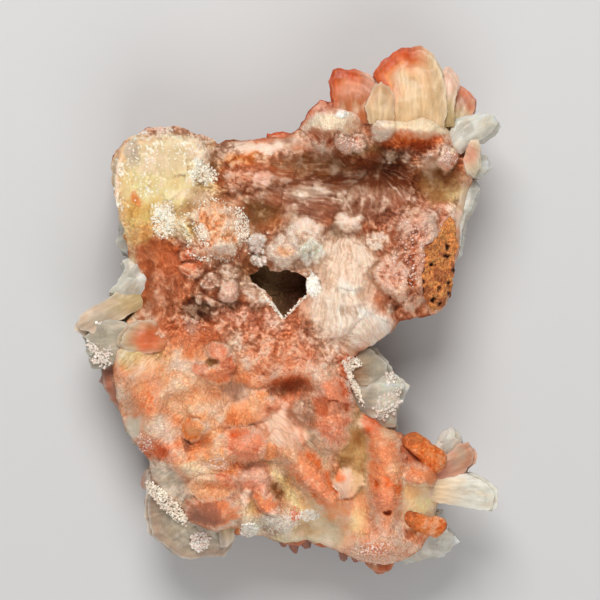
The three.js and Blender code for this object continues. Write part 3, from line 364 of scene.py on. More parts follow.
# Single crystals of the rim: plan with its root at the first and last corner, heights, lean, and tones
# at root and tip. Some have an edge stained red, stained sides too, arcs of growth or a core of another
# tone, and the clear ones are marked
RIM_CRYSTALS = [
    # the crown: left petal, the shard over it, the great fan and the petals behind it
    dict(rim=[(8.8, 39), (8.2, 43.6), (8, 46), (8.8, 48.4), (10, 48.7), (14.4, 48), (16, 47.2),
              (18.2, 45.4), (18.6, 42), (17, 37)], low=17, high=27, lean=(6, 2), tones=("flank", "pink"),
         stain=1, side=1, arcs=1),
    dict(rim=[(19.2, 36), (18.8, 41), (17.8, 45), (16.4, 47.2), (18, 49.6), (20.4, 51.6), (22, 52.6),
              (24, 52.6), (26, 53), (28, 51.8), (29.2, 50), (30.2, 48.2), (31, 45), (31.4, 40), (30.4, 36)],
         low=16, high=28.6, lean=(5, 0), tones=("fringe", "fringe"), stain=1, side=1, arcs=1),
    dict(rim=[(15.4, 37), (14.6, 40.6), (16.4, 44.6), (18, 46), (19.8, 45.4), (20.7, 43.6), (20.5, 37)],
         low=22, high=29.4, lean=(5, 3), tones=("fringe", "fringe"), stain=0.15),
    dict(rim=[(29.6, 37), (30.2, 48.8), (31.6, 48.9), (33.2, 47.2), (33.7, 45.4), (33.2, 41), (33, 37)],
         low=15, high=26, lean=(6, -4), tones=("reed", "blush"), stain=0.15, arcs=1),
    dict(rim=[(31.6, 36), (32.4, 43), (33.6, 45.6), (35.6, 44.4), (37.4, 42.4), (37.2, 40), (36, 36)],
         low=14, high=24, lean=(4, -6), tones=("reed", "mauve"), stain=0.5, arcs=1),
    dict(rim=[(32, 34.6), (33.6, 38.4), (37, 39.4), (39, 40.1), (41, 39.6), (42.6, 38), (41, 35.8),
              (38.8, 34), (37.6, 33.6), (34.6, 31.2), (33, 31.8)],
         low=15, high=25.5, lean=(2, -8), tones=("ice", "ice"), clear=1),
    dict(rim=[(35.6, 32.6), (36, 33.8), (37.6, 33.8), (38.1, 32), (38, 28), (36.8, 26.2), (35.4, 27),
              (34.6, 29.6)], low=20, high=28.5, lean=(0, -6), tones=("pink", "cream")),
    dict(rim=[(34.6, 29.8), (38.4, 31.2), (39.6, 31.4), (40.8, 30.4), (41.3, 28.8), (40, 27.6), (38, 26.4),
              (35, 26)], low=13, high=21.5, lean=(-2, -8), tones=("reed", "ice"), clear=1),
    dict(rim=[(34, 25), (37.6, 26), (38.6, 24.6), (38, 22.8), (37.2, 20.4), (36, 19), (35.2, 15.6),
              (34.6, 11.2), (33.6, 10), (32, 14)], low=11.5, high=22, lean=(0, -8),
         tones=("ice", "ice"), clear=1),
    dict(rim=[(-5, 31), (-4.5, 36.2), (1.6, 36), (2, 31)], low=14, high=20, lean=(0, 0),
         tones=("red", "red"), stain=1),
    dict(rim=[(11, -9), (16.6, -7.6), (18.2, -8), (20.2, -10.6), (21, -13), (17, -16), (11, -16)],
         low=11, high=21, lean=(0, -6), tones=("tan", "ash"), clear=1),
    dict(rim=[(12, -15), (18, -12.4), (21.4, -12.8), (24.2, -15), (23.6, -17), (22.2, -20.6), (22.4, -24),
              (17, -24), (12, -19)], low=9.5, high=20.2, lean=(-2, -4),
         tones=("grey", "frost"), stain=0.1, clear=1),
    dict(rim=[(27, -30), (30, -25.4), (30.8, -23.8), (32.8, -23), (33.8, -24), (34.8, -26), (33, -30),
              (29, -32)], low=17, high=22.5, lean=(4, -6), tones=("silk", "ice"), stain=0.1, clear=1),
    dict(rim=[(28, -31), (33, -28), (34.2, -26.6), (36.4, -26.2), (38, -28.6), (37.8, -29.8), (36.4, -31.2),
              (35.4, -32.8), (29, -34)], low=15, high=24, lean=(0, -6), tones=("rose", "grey"), stain=0.35),
    dict(rim=[(26, -33.4), (33, -32.8), (36, -32.6), (39, -33.8), (40.6, -34.8), (41.6, -36), (41.8, -38),
              (41.6, -39.6), (40.6, -40.4), (37.2, -39.8), (33, -39), (26, -38)],
         low=17, high=24, lean=(0, -7), tones=("cream", "ice"), arcs=1),
    dict(rim=[(22, -40), (28, -40.2), (31, -40.4), (32.2, -43.6), (34.6, -46.4), (33.2, -48.6),
              (31.6, -49.6), (28, -50.4), (24, -51.4), (20, -48)],
         low=9, high=19.5, lean=(4, -5), tones=("white", "white"), clear=1),
    dict(rim=[(21, -46), (22, -50.6), (21, -52.6), (18.8, -54), (17, -53.8), (15.2, -51.8), (14, -47)],
         low=10, high=18, lean=(5, 0), tones=("rust", "rust"), stain=0.4),
    dict(rim=[(-12, -42), (-11, -46), (-12, -48), (-13.4, -49.8), (-18, -50), (-20.6, -50.6), (-22.6, -50.2),
              (-26, -47.8), (-28.6, -45.8), (-29.4, -42), (-29.2, -33), (-24, -31), (-17, -36)],
         low=11, high=22, lean=(3, 3), tones=("ash", "ash"), stain=0.15, clear=1, arcs=1),
    dict(rim=[(-14.6, -42), (-14, -47.6), (-12.6, -48.2), (-11.4, -46.6), (-11, -42)],
         low=17, high=23.5, lean=(8, 4), tones=("beige", "silk")),
    dict(rim=[(-3, -42), (-2.6, -46.6), (-1, -47.8), (1.6, -48.2), (3.2, -46.8), (3, -42)],
         low=9, high=18, lean=(6, 0), tones=("rust", "rust"), stain=0.6, arcs=1),
    dict(rim=[(3.6, -42), (4, -47), (5.6, -48), (8.6, -48.2), (12, -50), (13.6, -49), (13, -42)],
         low=8.5, high=17.5, lean=(6, 0), tones=("rust", "rust"), stain=0.6, arcs=1),
    dict(rim=[(-29, 12), (-32, 9.6), (-34.4, 10.8), (-35.4, 13.2), (-34.6, 17.8), (-30, 19)],
         low=11, high=21, lean=(0, 6), tones=("ice", "ice"), clear=1),
    dict(rim=[(-28.6, 5.6), (-29, 1), (-34, 2), (-37.2, 3), (-35.6, 4.8), (-33.6, 8), (-34.2, 9.8),
              (-30, 11)], low=12, high=22, lean=(-3, 6), tones=("ice", "ice"), clear=1),
    dict(rim=[(-27, 2), (-33, -1.6), (-39, -5), (-41.2, -5.6), (-42.8, -4.8), (-44.2, -3.4), (-44, -2),
              (-41, 0), (-36.8, 2.4), (-33, 5), (-28, 6)],
         low=14, high=21, lean=(-3, 4), tones=("reed", "ash"), stain=0.1),
    dict(rim=[(-31, -9), (-36.4, -11.2), (-38.8, -12.2), (-40.2, -12), (-42, -8.2), (-42, -5.2),
              (-40, -2.4), (-36.4, -1.6), (-32, -3)],
         low=9, high=22.5, lean=(0, 6), tones=("ash", "ash"), clear=1),
    dict(rim=[(-25.6, -8.2), (-28, -8.6), (-31, -8.8), (-33.6, -8.2), (-35, -6.8), (-34.6, -4.8), (-33, -3),
              (-30.6, -1.9), (-28, -1.9), (-26, -2.8), (-24.6, -4.4)],
         low=17, high=25.4, lean=(0, 7), tones=("tan", "beige"), core="coral"),
    dict(rim=[(-30, -20), (-34.2, -21.4), (-36, -19.2), (-37.4, -17.6), (-38.8, -14.8), (-39.2, -12),
              (-36, -10.4), (-31, -11)], low=8, high=19, lean=(3, 6),
         tones=("ash", "mauve"), stain=0.4, clear=1),
]

# Rounded fingers of the face: from, to, radius, tone
FINGERS = [
    ((24.4, -26.6, 23.6), (28.8, -30.2, 24.8), 2.2, "finger"),
    ((24.2, -40.8, 24), (29.4, -42.8, 23.4), 1.9, "finger"),
]

# Sheaves of the crystal side, as in the solid: x, y, height of the tip, width, thickness, turn
SHEAF_ROOT = 16.0
ROOT_SHARE = 0.62
LEAN_AT_RIM = 36.0
LEAN_REACH = 46.0
LEAN_STRAY = 9.0
SHEAVES = [
    (11, 36, 4.5, 10, 5, 10), (20, 37, 2, 12, 6, 60), (29, 34, 5, 9, 5, 110), (-27, 28, 3.5, 12, 6, 20),
    (-19, 28, 1.5, 10, 5, 95), (-8, 27, 4, 11, 6, 150), (3, 27, 2.5, 11, 5, 35), (13, 26, 4.5, 10, 5, 85),
    (30, 24, 3, 11, 5, 40), (-28, 19, 5, 11, 5, 70), (-12, 18, 3, 11, 6, 40), (-2, 16, 5, 10, 5, 120),
    (8, 16, 3, 11, 5, 5), (15, 13, 5.5, 10, 5, 65), (28, 12, 4, 10, 5, 100), (-26, 8, 3, 12, 6, 10),
    (-17, 8, 5, 10, 5, 130), (12, 5, 4, 11, 5, 155), (23, 4, 5, 9, 5, 60), (-28, -2, 4.5, 11, 5, 45),
    (-17, -3, 2.5, 11, 6, 85), (6, -4, 4.5, 10, 5, 70), (-29, -13, 4, 11, 5, 150),
    (-11, -13, 3.5, 12, 6, 125), (-1, -14, 5.5, 10, 5, 15), (8, -14, 4, 9, 5, 100),
    (-25, -24, 4.5, 10, 5, 30), (-16, -25, 3, 10, 6, 60), (-7, -24, 4, 11, 5, 145), (4, -24, 2.5, 11, 6, 80),
    (13, -23, 4.5, 10, 5, 35), (-23, -34, 4, 10, 5, 110), (-4, -34, 5, 10, 5, 5), (25, -32, 4, 10, 5, 130),
    (20, -34, 2.5, 9, 5, 50), (1, -39, 3.5, 10, 5, 100), (11, -41, 3.5, 10, 5, 65), (22, -42, 3, 11, 6, 15),
    (-14, -40, 4, 9, 5, 140),
]
# Sheaves with flat ends that it lies on: x, y, width, thickness, turn
FEET = [
    (-20, 18, 11, 6.5, 20), (22, 28, 11, 6.5, 75), (21, 9, 9, 6, 120), (-21, -16, 11, 6.5, 100),
    (-3, -4, 10, 6, 35), (12, -33, 11, 6.5, 150), (-13, -33, 10, 6, 65),
]

# Beds of sugary grains: x, y, half length, half width, turn, number, size, tone, 1 where they keep to
# the edge of the bed, and where a crystal carries them the level that they lie on and its slope along x
GRAIN_BEDS = [
    (-25, 17.4, 2.6, 3.6, 0, 420, 0.28, "frost", 0), (-17.2, 27, 2.8, 2.2, 0, 300, 0.28, "frost", 0),
    (-25, 25, 8.4, 8.4, 0, 130, 0.26, "frost", 0), (-15, 15.6, 6.2, 6, 0, 300, 0.26, "frost", 1),
    (-9.6, 17, 1.5, 4, 10, 260, 0.28, "frost", 0), (-17.4, 15.2, 1.4, 2.8, 30, 130, 0.26, "frost", 0),
    (-6.6, 12.8, 1.5, 2.2, 0, 30, 0.9, "dull silk", 0), (-6, 9.8, 1.6, 1, 0, 40, 0.6, "silk", 0),
    (4.6, 5, 1.2, 2.2, 0, 260, 0.4, "white", 0), (-3.2, 0.6, 3.6, 0.35, -52, 120, 0.26, "frost", 0),
    (1.2, 0.8, 3.4, 0.3, 45, 90, 0.26, "frost", 0),
    (12.6, -14.4, 5.4, 0.7, -66, 340, 0.28, "frost", 0, 21.2),
    (12.4, -10.6, 1.9, 1.4, 0, 170, 0.3, "frost", 0, 21.4),
    (-24.5, -38.7, 6, 1.5, -46, 620, 0.3, "frost", 0, 22),
    (19.4, -17.4, 3, 4.8, -12, 330, 0.42, "ice", 0, 18.6, -0.3),
    (-38.2, -7.2, 2.6, 4.4, 10, 330, 0.42, "ice", 0, 20.15, 0.45),
    (-18, -46.2, 1.9, 2.2, 0, 260, 0.45, "white", 0, 20.8),
    (-8.2, -43.8, 1.8, 1.6, 0, 240, 0.42, "white", 0, 20.6),
    (3.6, -40.9, 2.6, 1.2, 0, 260, 0.32, "white", 0), (-2, -42, 4, 2, 0, 160, 0.32, "silk", 0),
    (1, -40.6, 1, 1.6, 0, 90, 0.32, "coral", 0), (10.2, 38.6, 1.2, 0.9, 0, 110, 0.3, "white", 0),
    (17, -48, 4.4, 3, 0, 200, 0.3, "blush", 0), (11.6, 32.6, 2.2, 1.4, 0, 120, 0.3, "blush", 0),
    (-29, -26.6, 2, 2, 0, 110, 0.3, "blush", 0), (-19.2, -3.2, 2.4, 1.4, 0, 50, 0.28, "pink", 0),
    (-14, -30.4, 3, 1.4, 0, 80, 0.28, "blush", 0), (24, 10, 4, 7, 0, 160, 0.28, "blush", 0),
    (31.4, 30, 1.8, 2, 0, 70, 0.28, "blush", 0),
]

# The face's grid, and the shares that its parts have in it, in mm
FIELD_LOW, FIELD_HIGH = (-39.0, -54.0), (39.0, 45.0)
LUMP_WARP = (0.7, 2.4, 25)  # how the edges of the lumps wander: reach, size, seed
PLATE_WARP = (0.3, 1.6, 27)  # and the edges of the pale block
LOWER_PART = (-7, -12)  # where the calmer lower part begins and is reached
BLOCK_FOOT = (8, 20.4)  # where the pale block rises out of the face
BLOCK_LEVEL = 27.4
CLEAVAGE_WIDTH = 3.4
SEAM_WIDTH = 1.5
FIBRE_RISE, FIBRE_SOFT = 1.05, 0.5  # lumps that stand higher and have a harder edge turn the fibres
FRINGE_RISE = 0.6  # lumps that stand higher have a pale fringe
END_ON = (0.2, 1.3)  # lengths of fibre over which its streaks come up
SWELL_WIDTH, SWELL_RISE = 4.5, 0.45
RIDGES, HAIRS = (1.3, 5), (0.42, 2.5)  # width and length of ridges of fibre and of single hairs
FLUFF_WIDTH = 0.9
GRAIN_WIDTH = 0.62
CLOUD_WIDTH, WISP_WIDTH = 2.8, 1.1
TOP_LEVEL, TOP_ROUND = 30.5, 1.6  # the level above which lumps are rounded off, and by how much
SCAB_DEPTH = 3.2

# Colouring of the face, as shares of red, green and blue where there are three
CLOUD_SHADE, WISP_SHADE = np.array([0.96, 0.74, 0.58]), np.array([0.97, 0.78, 0.64])
RELIEF_SCALES = ((1, 0.07), (4, 0.22), (10, 0.6), (20, 2.0))  # cells of blur, and mm that count as one
# How deep and how warm the painted shade in the hollows of the relief is
GAP_SHADE_DEPTH, GAP_SHADE_WARMTH = 0.17, np.array([0, 0.12, 0.20])
CRISPNESS = np.array([0.33, 0.46, 0.52])
BRIGHTEST = 0.93
FACE_CURVE, CRYSTAL_CURVE = np.array([1.04, 1.13, 1.23]), np.array([1.0, 1.06, 1.15])

# Sizes of the smaller things, in mm, and turns in degrees
RIM_WANDER = (0.32, 1.6, 101)  # how the outline of the mass strays: reach, size, seed
FACE_MIDDLE, HEM_LEVEL = (0, -4.0), 15.8  # the face's rim turns down to this level, away from its middle
POCKET_MIDDLE, WALL_ROWS, FLOOR_ROWS = (-2.0, 4.0), 9, 5
KNOB_WIDTH = 2.1
RIM_TAPER = 0.74  # how much thinner a rim crystal is at its tip
BLADE_THICKNESS, CLEAR_THICKNESS, LAYER_TURN, NOTCH_WIDTH = 3.2, 4.6, 9, 1.3
PALEST = 0.95
FINGER_STEP, FINGER_AROUND, FINGER_BEND = 0.28, 44, 1.1
GRAIN_TILT = 0.2  # spread of the tilt, in radians
GRAIN_CORNERS = (0.6, 0.6, 0.35) * np.array([
    (-1, -1, -1), (1, -1, -1), (1, 1, -1), (-1, 1, -1),
    (-0.7, -0.8, 1), (0.8, -0.7, 1), (0.7, 0.8, 1), (-0.8, 0.7, 1)])
GRAIN_FACES = np.array([
    (0, 2, 1), (0, 3, 2), (4, 5, 6), (4, 6, 7), (0, 1, 5), (0, 5, 4), (1, 2, 6), (1, 6, 5), (2, 3, 7),
    (2, 7, 6), (3, 0, 4), (3, 4, 7)])
RUST_BELOW = -38  # the crystals of the bottom edge are rusty
RIM_BLADE_STEP, RIM_BLADE_LEVELS = 2.1, (11.5, 14.5, 17.0)
PIT_WIDTH, PIT_DEPTH, POCK_WIDTH, SCAB_THICKNESS = 1.7, 1.1, 0.62, 5.3

# The stone's refraction, and what colour the clear crystals absorb to, in sRGB
STONE_IOR, MIST, MIST_DENSITY = 1.5, (232, 224, 204), 8.0


def linear(colour):
    """An sRGB colour of 0 to 255 as linear light."""
    share = np.asarray(colour, float) / 255
    return np.where(share <= 0.04045, share / 12.92, ((share + 0.055) / 1.055) ** 2.4)


def blend(a, b, share):
    """Mixes two colours, each given as linear light or by its tone, with one share for each point."""
    a, b = (linear(TONES[c]) if isinstance(c, str) else c for c in (a, b))
    share = np.clip(share, 0, 1)[..., None]
    return a * (1 - share) + b * share


def ramp(value, low, high):
    """Rises smoothly from 0 at low to 1 at high, or falls where high is below low."""
    t = np.clip((value - low) / (high - low), 0, 1)
    return t * t * (3 - 2 * t)


def dice(ix, iy, iz, seed):
    """Numbers from 0 to 1, always the same for the same whole-number place."""
    wave = np.sin(ix * 127.1 + iy * 311.7 + iz * 74.7 + seed * 53.3) * 43758.5453
    return wave - np.floor(wave)


def noise(x, y, z, seed):
    """Smooth noise from -1 to 1 with features about one unit wide."""
    x, y, z = np.broadcast_arrays(np.asarray(x, float), y, z)
    corner = np.floor(x), np.floor(y), np.floor(z)
    part = [ramp(v - c, 0, 1) for v, c in zip((x, y, z), corner)]
    total = 0
    for cx in (0, 1):
        for cy in (0, 1):
            for cz in (0, 1):
                share = (part[0] if cx else 1 - part[0]) * (part[1] if cy else 1 - part[1])
                share = share * (part[2] if cz else 1 - part[2])
                total = total + share * dice(corner[0] + cx, corner[1] + cy, corner[2] + cz, seed)
    return 2 * total - 1


def fractal(x, y, z, octaves, seed):
    """Noise on noise, each layer half as wide and half as strong."""
    total, strength, size = 0, 1.0, 1.0
    for layer in range(octaves):
        push = 5.3 * layer, 3.7 * layer  # keeps the layers from lining up
        total = total + strength * noise(x * size + push[0], y * size - push[1], z * size, seed + layer)
        strength *= 0.5
        size *= 2.03
    return total


def cells(x, y, seed):
    """Scattered points, one to a unit square: the distance to the nearest, how much further the
    next one is, the nearest one's number from 0 to 1, and the way from it."""
    ix, iy = np.floor(x), np.floor(y)
    near, second = np.full(x.shape, 9.0), np.full(x.shape, 9.0)
    number, ox, oy = np.zeros(x.shape), np.zeros(x.shape), np.zeros(x.shape)
    for dx in (-1, 0, 1):
        for dy in (-1, 0, 1):
            jx, jy = ix + dx, iy + dy
            px = jx + 0.1 + 0.8 * dice(jx, jy, 1, seed)
            py = jy + 0.1 + 0.8 * dice(jx, jy, 2, seed)
            away = np.hypot(x - px, y - py)
            closer = away < near
            second = np.where(closer, near, np.minimum(second, away))
            near = np.where(closer, away, near)
            number = np.where(closer, dice(jx, jy, 3, seed), number)
            ox, oy = np.where(closer, x - px, ox), np.where(closer, y - py, oy)
    return near, second - near, number, ox, oy


def tilted(number, ox, oy):
    """The slope of a small face that each cell tilts its own way."""
    return ox * (number * 7 % 1 - 0.5) + oy * (number * 13 % 1 - 0.5)


def turned(p, q, angle):
    """A place turned about the origin, by an angle in radians."""
    c, s = np.cos(angle), np.sin(angle)
    return p * c - q * s, p * s + q * c


def inside(x, y, rim):
    """Which places lie inside a closed rim."""
    within = np.zeros(np.shape(x), bool)
    for (ax, ay), (bx, by) in zip(rim, np.roll(rim, -1, axis=0)):
        if ay != by:
            within ^= ((ay > y) != (by > y)) & (x < (bx - ax) * (y - ay) / (by - ay) + ax)
    return within


def rim_distance(x, y, rim):
    """Distance to a closed rim, positive inside it."""
    best = np.full(np.shape(x), np.inf)
    for (ax, ay), (bx, by) in zip(rim, np.roll(rim, -1, axis=0)):
        along = ((x - ax) * (bx - ax) + (y - ay) * (by - ay)) / ((bx - ax) ** 2 + (by - ay) ** 2 + 1e-12)
        t = np.clip(along, 0, 1)
        best = np.minimum(best, np.hypot(x - ax - t * (bx - ax), y - ay - t * (by - ay)))
    return np.where(inside(x, y, rim), best, -best)


def spot(x, y, cx, cy, long, wide, turn):
    """How far out of an ellipse a point lies: 0 in its middle, 1 on its edge."""
    a = math.radians(turn)
    u = ((x - cx) * math.cos(a) + (y - cy) * math.sin(a)) / long
    v = ((y - cy) * math.cos(a) - (x - cx) * math.sin(a)) / wide
    return np.hypot(u, v)


def level_at(x, y, level, sign, forms, width):
    """Height of a side of the mass: swellings with round tops and fairly steep sides, and a
    quarter-round roll from the rim inwards."""
    swell = sum(rise * np.exp(-spot(x, y, *form) ** 3) for *form, rise in forms)
    t = np.clip(rim_distance(x, y, MASS_RIM) / width, 0, 1)
    share = RIM_SHARE + (1 - RIM_SHARE) * np.sqrt(1 - (1 - t) ** 2)
    return RIM_LEVEL + (level + sign * swell - RIM_LEVEL) * share


def face_height(x, y):
    return level_at(x, y, FACE_LEVEL, 1, FACE_FORMS, FACE_ROLL)


def back_height(x, y):
    return level_at(x, y, BACK_LEVEL, -1, BACK_FORMS, BACK_ROLL)


def warped(x, y, reach, size, seed):
    """A place pushed about by noise, so that no edge runs as a plain curve."""
    wx = x + reach * fractal(x / size, y / size, 0, 3, seed)
    wy = y + reach * fractal(x / size, y / size, 7, 3, seed + 9)
    return wx, wy


def fan_out(x, y, cx, cy, long, wide, turn, ring):
    """Fibres standing out from the middle line of an ellipse: where each one passes the ring round
    that line, and how far along it a point is, all in mm."""
    a = math.radians(turn if long > wide else turn + 90)
    ca, sa, half = math.cos(a), math.sin(a), 0.8 * abs(long - wide)
    along = np.clip((x - cx) * ca + (y - cy) * sa, -half, half)
    ox, oy = x - cx - along * ca, y - cy - along * sa
    reach = np.hypot(ox, oy) + 0.05
    nearest_x, nearest_y = cx + along * ca, cy + along * sa
    return np.stack([nearest_x + ox / reach * ring, nearest_y + oy / reach * ring, reach], axis=-1)


def fibre_way(x, y):
    """The fibres fan out from the root of the nearest place, and on a lump from its middle line. Also
    gives 0 on the seams between places and 1 away from them."""
    wx, wy = warped(x, y, 1.2, 5, 40)
    hx, hy = warped(x, y, 0.4, 2.2, 41)
    lx, ly = warped(x, y, *LUMP_WARP)
    first, second, deepest = np.full(x.shape, 99.0), np.full(x.shape, 99.0), np.zeros(x.shape)
    out = np.zeros(x.shape + (3,))
    for cx, cy, rx, ry in FIBRE_ROOTS:
        away = np.hypot(wx - cx, wy - cy)
        closer = away < first
        second = np.where(closer, first, np.minimum(second, away))
        first = np.minimum(first, away)
        out = np.where(closer[..., None], fan_out(hx, hy, rx, ry, 0, 0, 0, math.hypot(cx - rx, cy - ry)), out)
    calm = ramp(second - first, 0, SEAM_WIDTH)
    for cx, cy, long, wide, turn, rise, soft, *_ in LUMPS:
        if rise > FIBRE_RISE and soft < FIBRE_SOFT:
            edge = (spot(lx, ly, cx, cy, long, wide, turn) - 1.2) * min(long, wide)
            closer = edge < deepest
            deepest = np.where(closer, edge, deepest)
            fan = fan_out(hx, hy, cx, cy, long, wide, turn, 0.8 * min(long, wide))
            out = np.where(closer[..., None], fan, out)
    return out, np.where(deepest < 0, ramp(-deepest, 0, 0.8), calm)


def lump_mask(x, y, form, soft, reach=1.0, softer=0.0, hair=0.0):
    """1 on a lump, 0 off it, with a ragged edge as soft as the lump says."""
    cx, cy, long, wide, turn = form
    soft = min(1.0, soft + softer)
    out = spot(x, y, cx, cy, long * reach, wide * reach, turn) + hair
    return ramp(out, 1.12 + 0.1 * softer, 1.12 - 0.9 * soft)


def strands(way, width, length, seed):
    """Streaks along the fibres, so wide and so long in mm, and none where the fibres are seen end on."""
    streaks = fractal(way[..., 0] / width, way[..., 1] / width, way[..., 2] / length, 2, seed)
    return streaks * ramp(way[..., 2], *END_ON)


def running_mean(values, reach):
    """Mean over a square of cells, twice, for a soft blur."""
    for _ in range(2):
        for axis in (0, 1):
            pad = [(reach + 1, reach) if a == axis else (0, 0) for a in (0, 1)]
            total = np.cumsum(np.pad(values, pad, mode="edge"), axis=axis)
            after = np.take(total, range(2 * reach + 1, total.shape[axis]), axis=axis)
            before = np.take(total, range(0, total.shape[axis] - 2 * reach - 1), axis=axis)
            values = (after - before) / (2 * reach + 1)
    return values


class Field:
    """Heights, colours and kinds of surface over the broken face, on a square grid."""

    def __init__(self, step, settings):
        self.step = step
        self.low = np.array(FIELD_LOW)
        count = np.ceil((np.array(FIELD_HIGH) - self.low) / step).astype(int)
        xs, ys = (low + step * np.arange(n) for low, n in zip(FIELD_LOW, count))
        self.x, self.y = np.meshgrid(xs, ys, indexing="ij")
        self.way, self.calm = fibre_way(self.x, self.y)
        self.kinds = self.kinds_of_surface()
        self.lower = ramp(self.y + 0.22 * self.x + 2 * fractal(self.x / 5, self.y / 5, 0, 2, 32), *LOWER_PART)
        self.plate = rim_distance(*warped(self.x, self.y, *PLATE_WARP), BLOCK_RIM)
        self.height = self.relief(settings)
        self.tint = self.colours(settings)

    def kinds_of_surface(self):
        wx, wy = warped(self.x, self.y, 0.9, 2.6, 60)
        kinds = np.zeros(self.x.shape + (4,))
        for *place, kind, strength in TEXTURE:
            mask = strength * ramp(spot(wx, wy, *place), 1.15, 0.75)
            kinds *= 1 - mask[..., None]
            kinds[..., kind] += mask
        return kinds

    def relief(self, settings):
        """Swellings, lumps, wool, ridges of fibre, druse and crumbs, and the flat pale block."""
        x, y, way = self.x, self.y, self.way
        druse, silk, glass, crumb = np.moveaxis(self.kinds, -1, 0)
        woolly = np.clip(1 - 0.8 * silk - 0.95 * glass - 0.5 * druse - 0.3 * crumb, 0, 1)
        woolly = woolly * (1 - 0.55 * self.lower)
        wx, wy = warped(x, y, 0.8, 3.2, 20)
        width, rise = settings.tuft_width / MM, settings.tuft_height / MM
        height = face_height(x, y)
        lx, ly = warped(x, y, *LUMP_WARP)
        for *form, lift, soft, _, _ in LUMPS:
            dome = 1 - np.clip(spot(lx, ly, *form), 0, 1) ** 2
            height = height + lift * lump_mask(lx, ly, form, soft) * (0.6 + 0.5 * dome)
        height = height + SWELL_RISE * fractal(x / SWELL_WIDTH, y / SWELL_WIDTH, 0, 2, 3) * (1 - 0.7 * glass)
        height = height + rise * woolly * fractal(wx / width, wy / width, 0, 4, 5)
        wool = 1 - 2 * np.abs(fractal(wx / width * 1.9 + 7, wy / width * 1.9, 0, 3, 6))
        height = height + 0.2 * rise * (woolly + 0.3 * silk) * wool
        ridges = 1 - 2 * np.abs(strands(way, *RIDGES, 70))
        height = height + (0.08 * woolly + 0.15 * silk + 0.02) * ridges * self.calm
        height = height + (0.10 * woolly + 0.12 * silk) * strands(way, *HAIRS, 72) * self.calm
        height = height + 0.16 * woolly * fractal(x / FLUFF_WIDTH, y / FLUFF_WIDTH, 0, 2, 7)
        *_, number, ox, oy = cells(x / GRAIN_WIDTH, y / GRAIN_WIDTH, 8)
        facet = 0.5 * (number - 0.5) + tilted(number, ox, oy)
        height = height + (0.45 * druse + 0.05 * woolly) * facet
        near, _, number, *_ = cells(*warped(x, y, 0.4, 1.1, 26), 9)
        height = height + crumb * (0.32 * (0.7 - near * near) * (0.5 + number) + 0.3 * facet)
        height = height + 0.10 * glass * fractal(x / 1.6, y / 1.6, 0, 3, 12)
        block = ramp(self.plate, -2.2 * ramp(x, -27, -23) - 0.3, 0.6)
        block = block * ramp(y + 0.4 * noise(x, 0, 0, 29), *BLOCK_FOOT)
        height = height * (1 - block) + self.block_top(facet) * block
        top = TOP_LEVEL + TOP_ROUND * np.tanh((height - TOP_LEVEL) / TOP_ROUND)
        scab = ramp(rim_distance(x, y, MATRIX_RIM), 0.2, 0.9)
        return np.where(height > TOP_LEVEL, top, height) - SCAB_DEPTH * scab

    def block_top(self, facet):
        """The flat top of the pale block: tilted cleavage steps, a rough top edge and bevels."""
        x, y = self.x, self.y
        bx, by = warped(x, y, *PLATE_WARP)
        *_, number, ox, oy = cells(bx / CLEAVAGE_WIDTH, by / CLEAVAGE_WIDTH, 14)
        flat = BLOCK_LEVEL + 0.05 * (x + 26) - 0.04 * (y - 26) + 0.9 * tilted(number, ox, oy)
        flat = flat + ramp(y, 32.6, 34) * (0.7 * facet - 0.4)
        flat = flat - 3.4 * ramp(self.plate, 1.9, 0.3) * ramp(x, -33, -34.5)
        flat = flat - 4.2 * ramp(self.plate, 2.8, 0) * ramp(y, 31, 33.5)
        return flat + 0.07 * fractal(x / 0.7, y / 1.6, 0, 3, 28)

    def colours(self, settings):
        """Tones of the places, the lumps and the stains over them, clouded, then darker with painted shade in
        the gaps and paler with a painted highlight on raised tips."""
        x, y = self.x, self.y
        druse, silk, glass, _ = np.moveaxis(self.kinds, -1, 0)
        wx, wy = warped(x, y, 0.7, 2.2, 80)
        tint = linear(TONES["salmon"])
        for *place, name, strength in PAINT:
            tint = blend(tint, name, strength * ramp(spot(wx, wy, *place), 1.35, 0.5))
        lx, ly = warped(x, y, *LUMP_WARP)
        fleck = fractal(x / 0.32, y / 0.5, 0, 2, 95) + 0.5 * fractal(x / 2.2, y / 4, 0, 2, 96)
        block = ramp(self.plate, -0.2, 0.8) * ramp(y, 15, 18)
        tint = blend(tint, "white", 0.85 * block * ramp(fleck, 0.6, 0.95))
        line = np.exp(-((self.plate - 2) / 0.3) ** 2) * ramp(x, -32, -33.4) * ramp(y, 32, 29)
        tint = blend(tint, "shell", 0.8 * block * line)
        hair = 0.12 * strands(self.way, 0.4, 4, 76)
        cloud = fractal(x / CLOUD_WIDTH, y / CLOUD_WIDTH, 0, 4, 91)
        wisp = fractal(x / WISP_WIDTH, y / WISP_WIDTH, 0, 3, 97) * (1 - 0.7 * glass)
        veil = (0.45 + 0.2 * self.lower) * ramp(cloud, 0, 1.1) + 0.16 * ramp(wisp, 0.1, 1.2)
        tint = blend(tint, "shell", veil)
        for *form, rise, soft, _, _ in LUMPS:
            if rise > FRINGE_RISE:
                tint = blend(tint, "shell", 0.5 * lump_mask(lx, ly, form, soft, 1.2, 0.1, hair))
        for *form, _, soft, name, strength in LUMPS:
            tint = blend(tint, name, strength * lump_mask(lx, ly, form, soft, 0.97, 0.25, hair))
        for *form, name, strength in STAINS:
            tint = blend(tint, name, strength * lump_mask(lx, ly, form, 1, 0.97, 0.25, hair))
        tint = blend(tint, "shell", 0.22 * ramp(cloud + wisp, 0.2, 1.6))
        stained = 1 - 0.7 * ramp(tint[..., 2] / tint[..., 0], 0.25, 0.6)
        warm = (0.7 + 0.25 * self.lower) * stained * ramp(cloud, 0, -1.1)
        tint = blend(tint, tint * CLOUD_SHADE, warm)
        tint = blend(tint, tint * WISP_SHADE, 0.5 * stained * ramp(wisp, -0.1, -1.2))
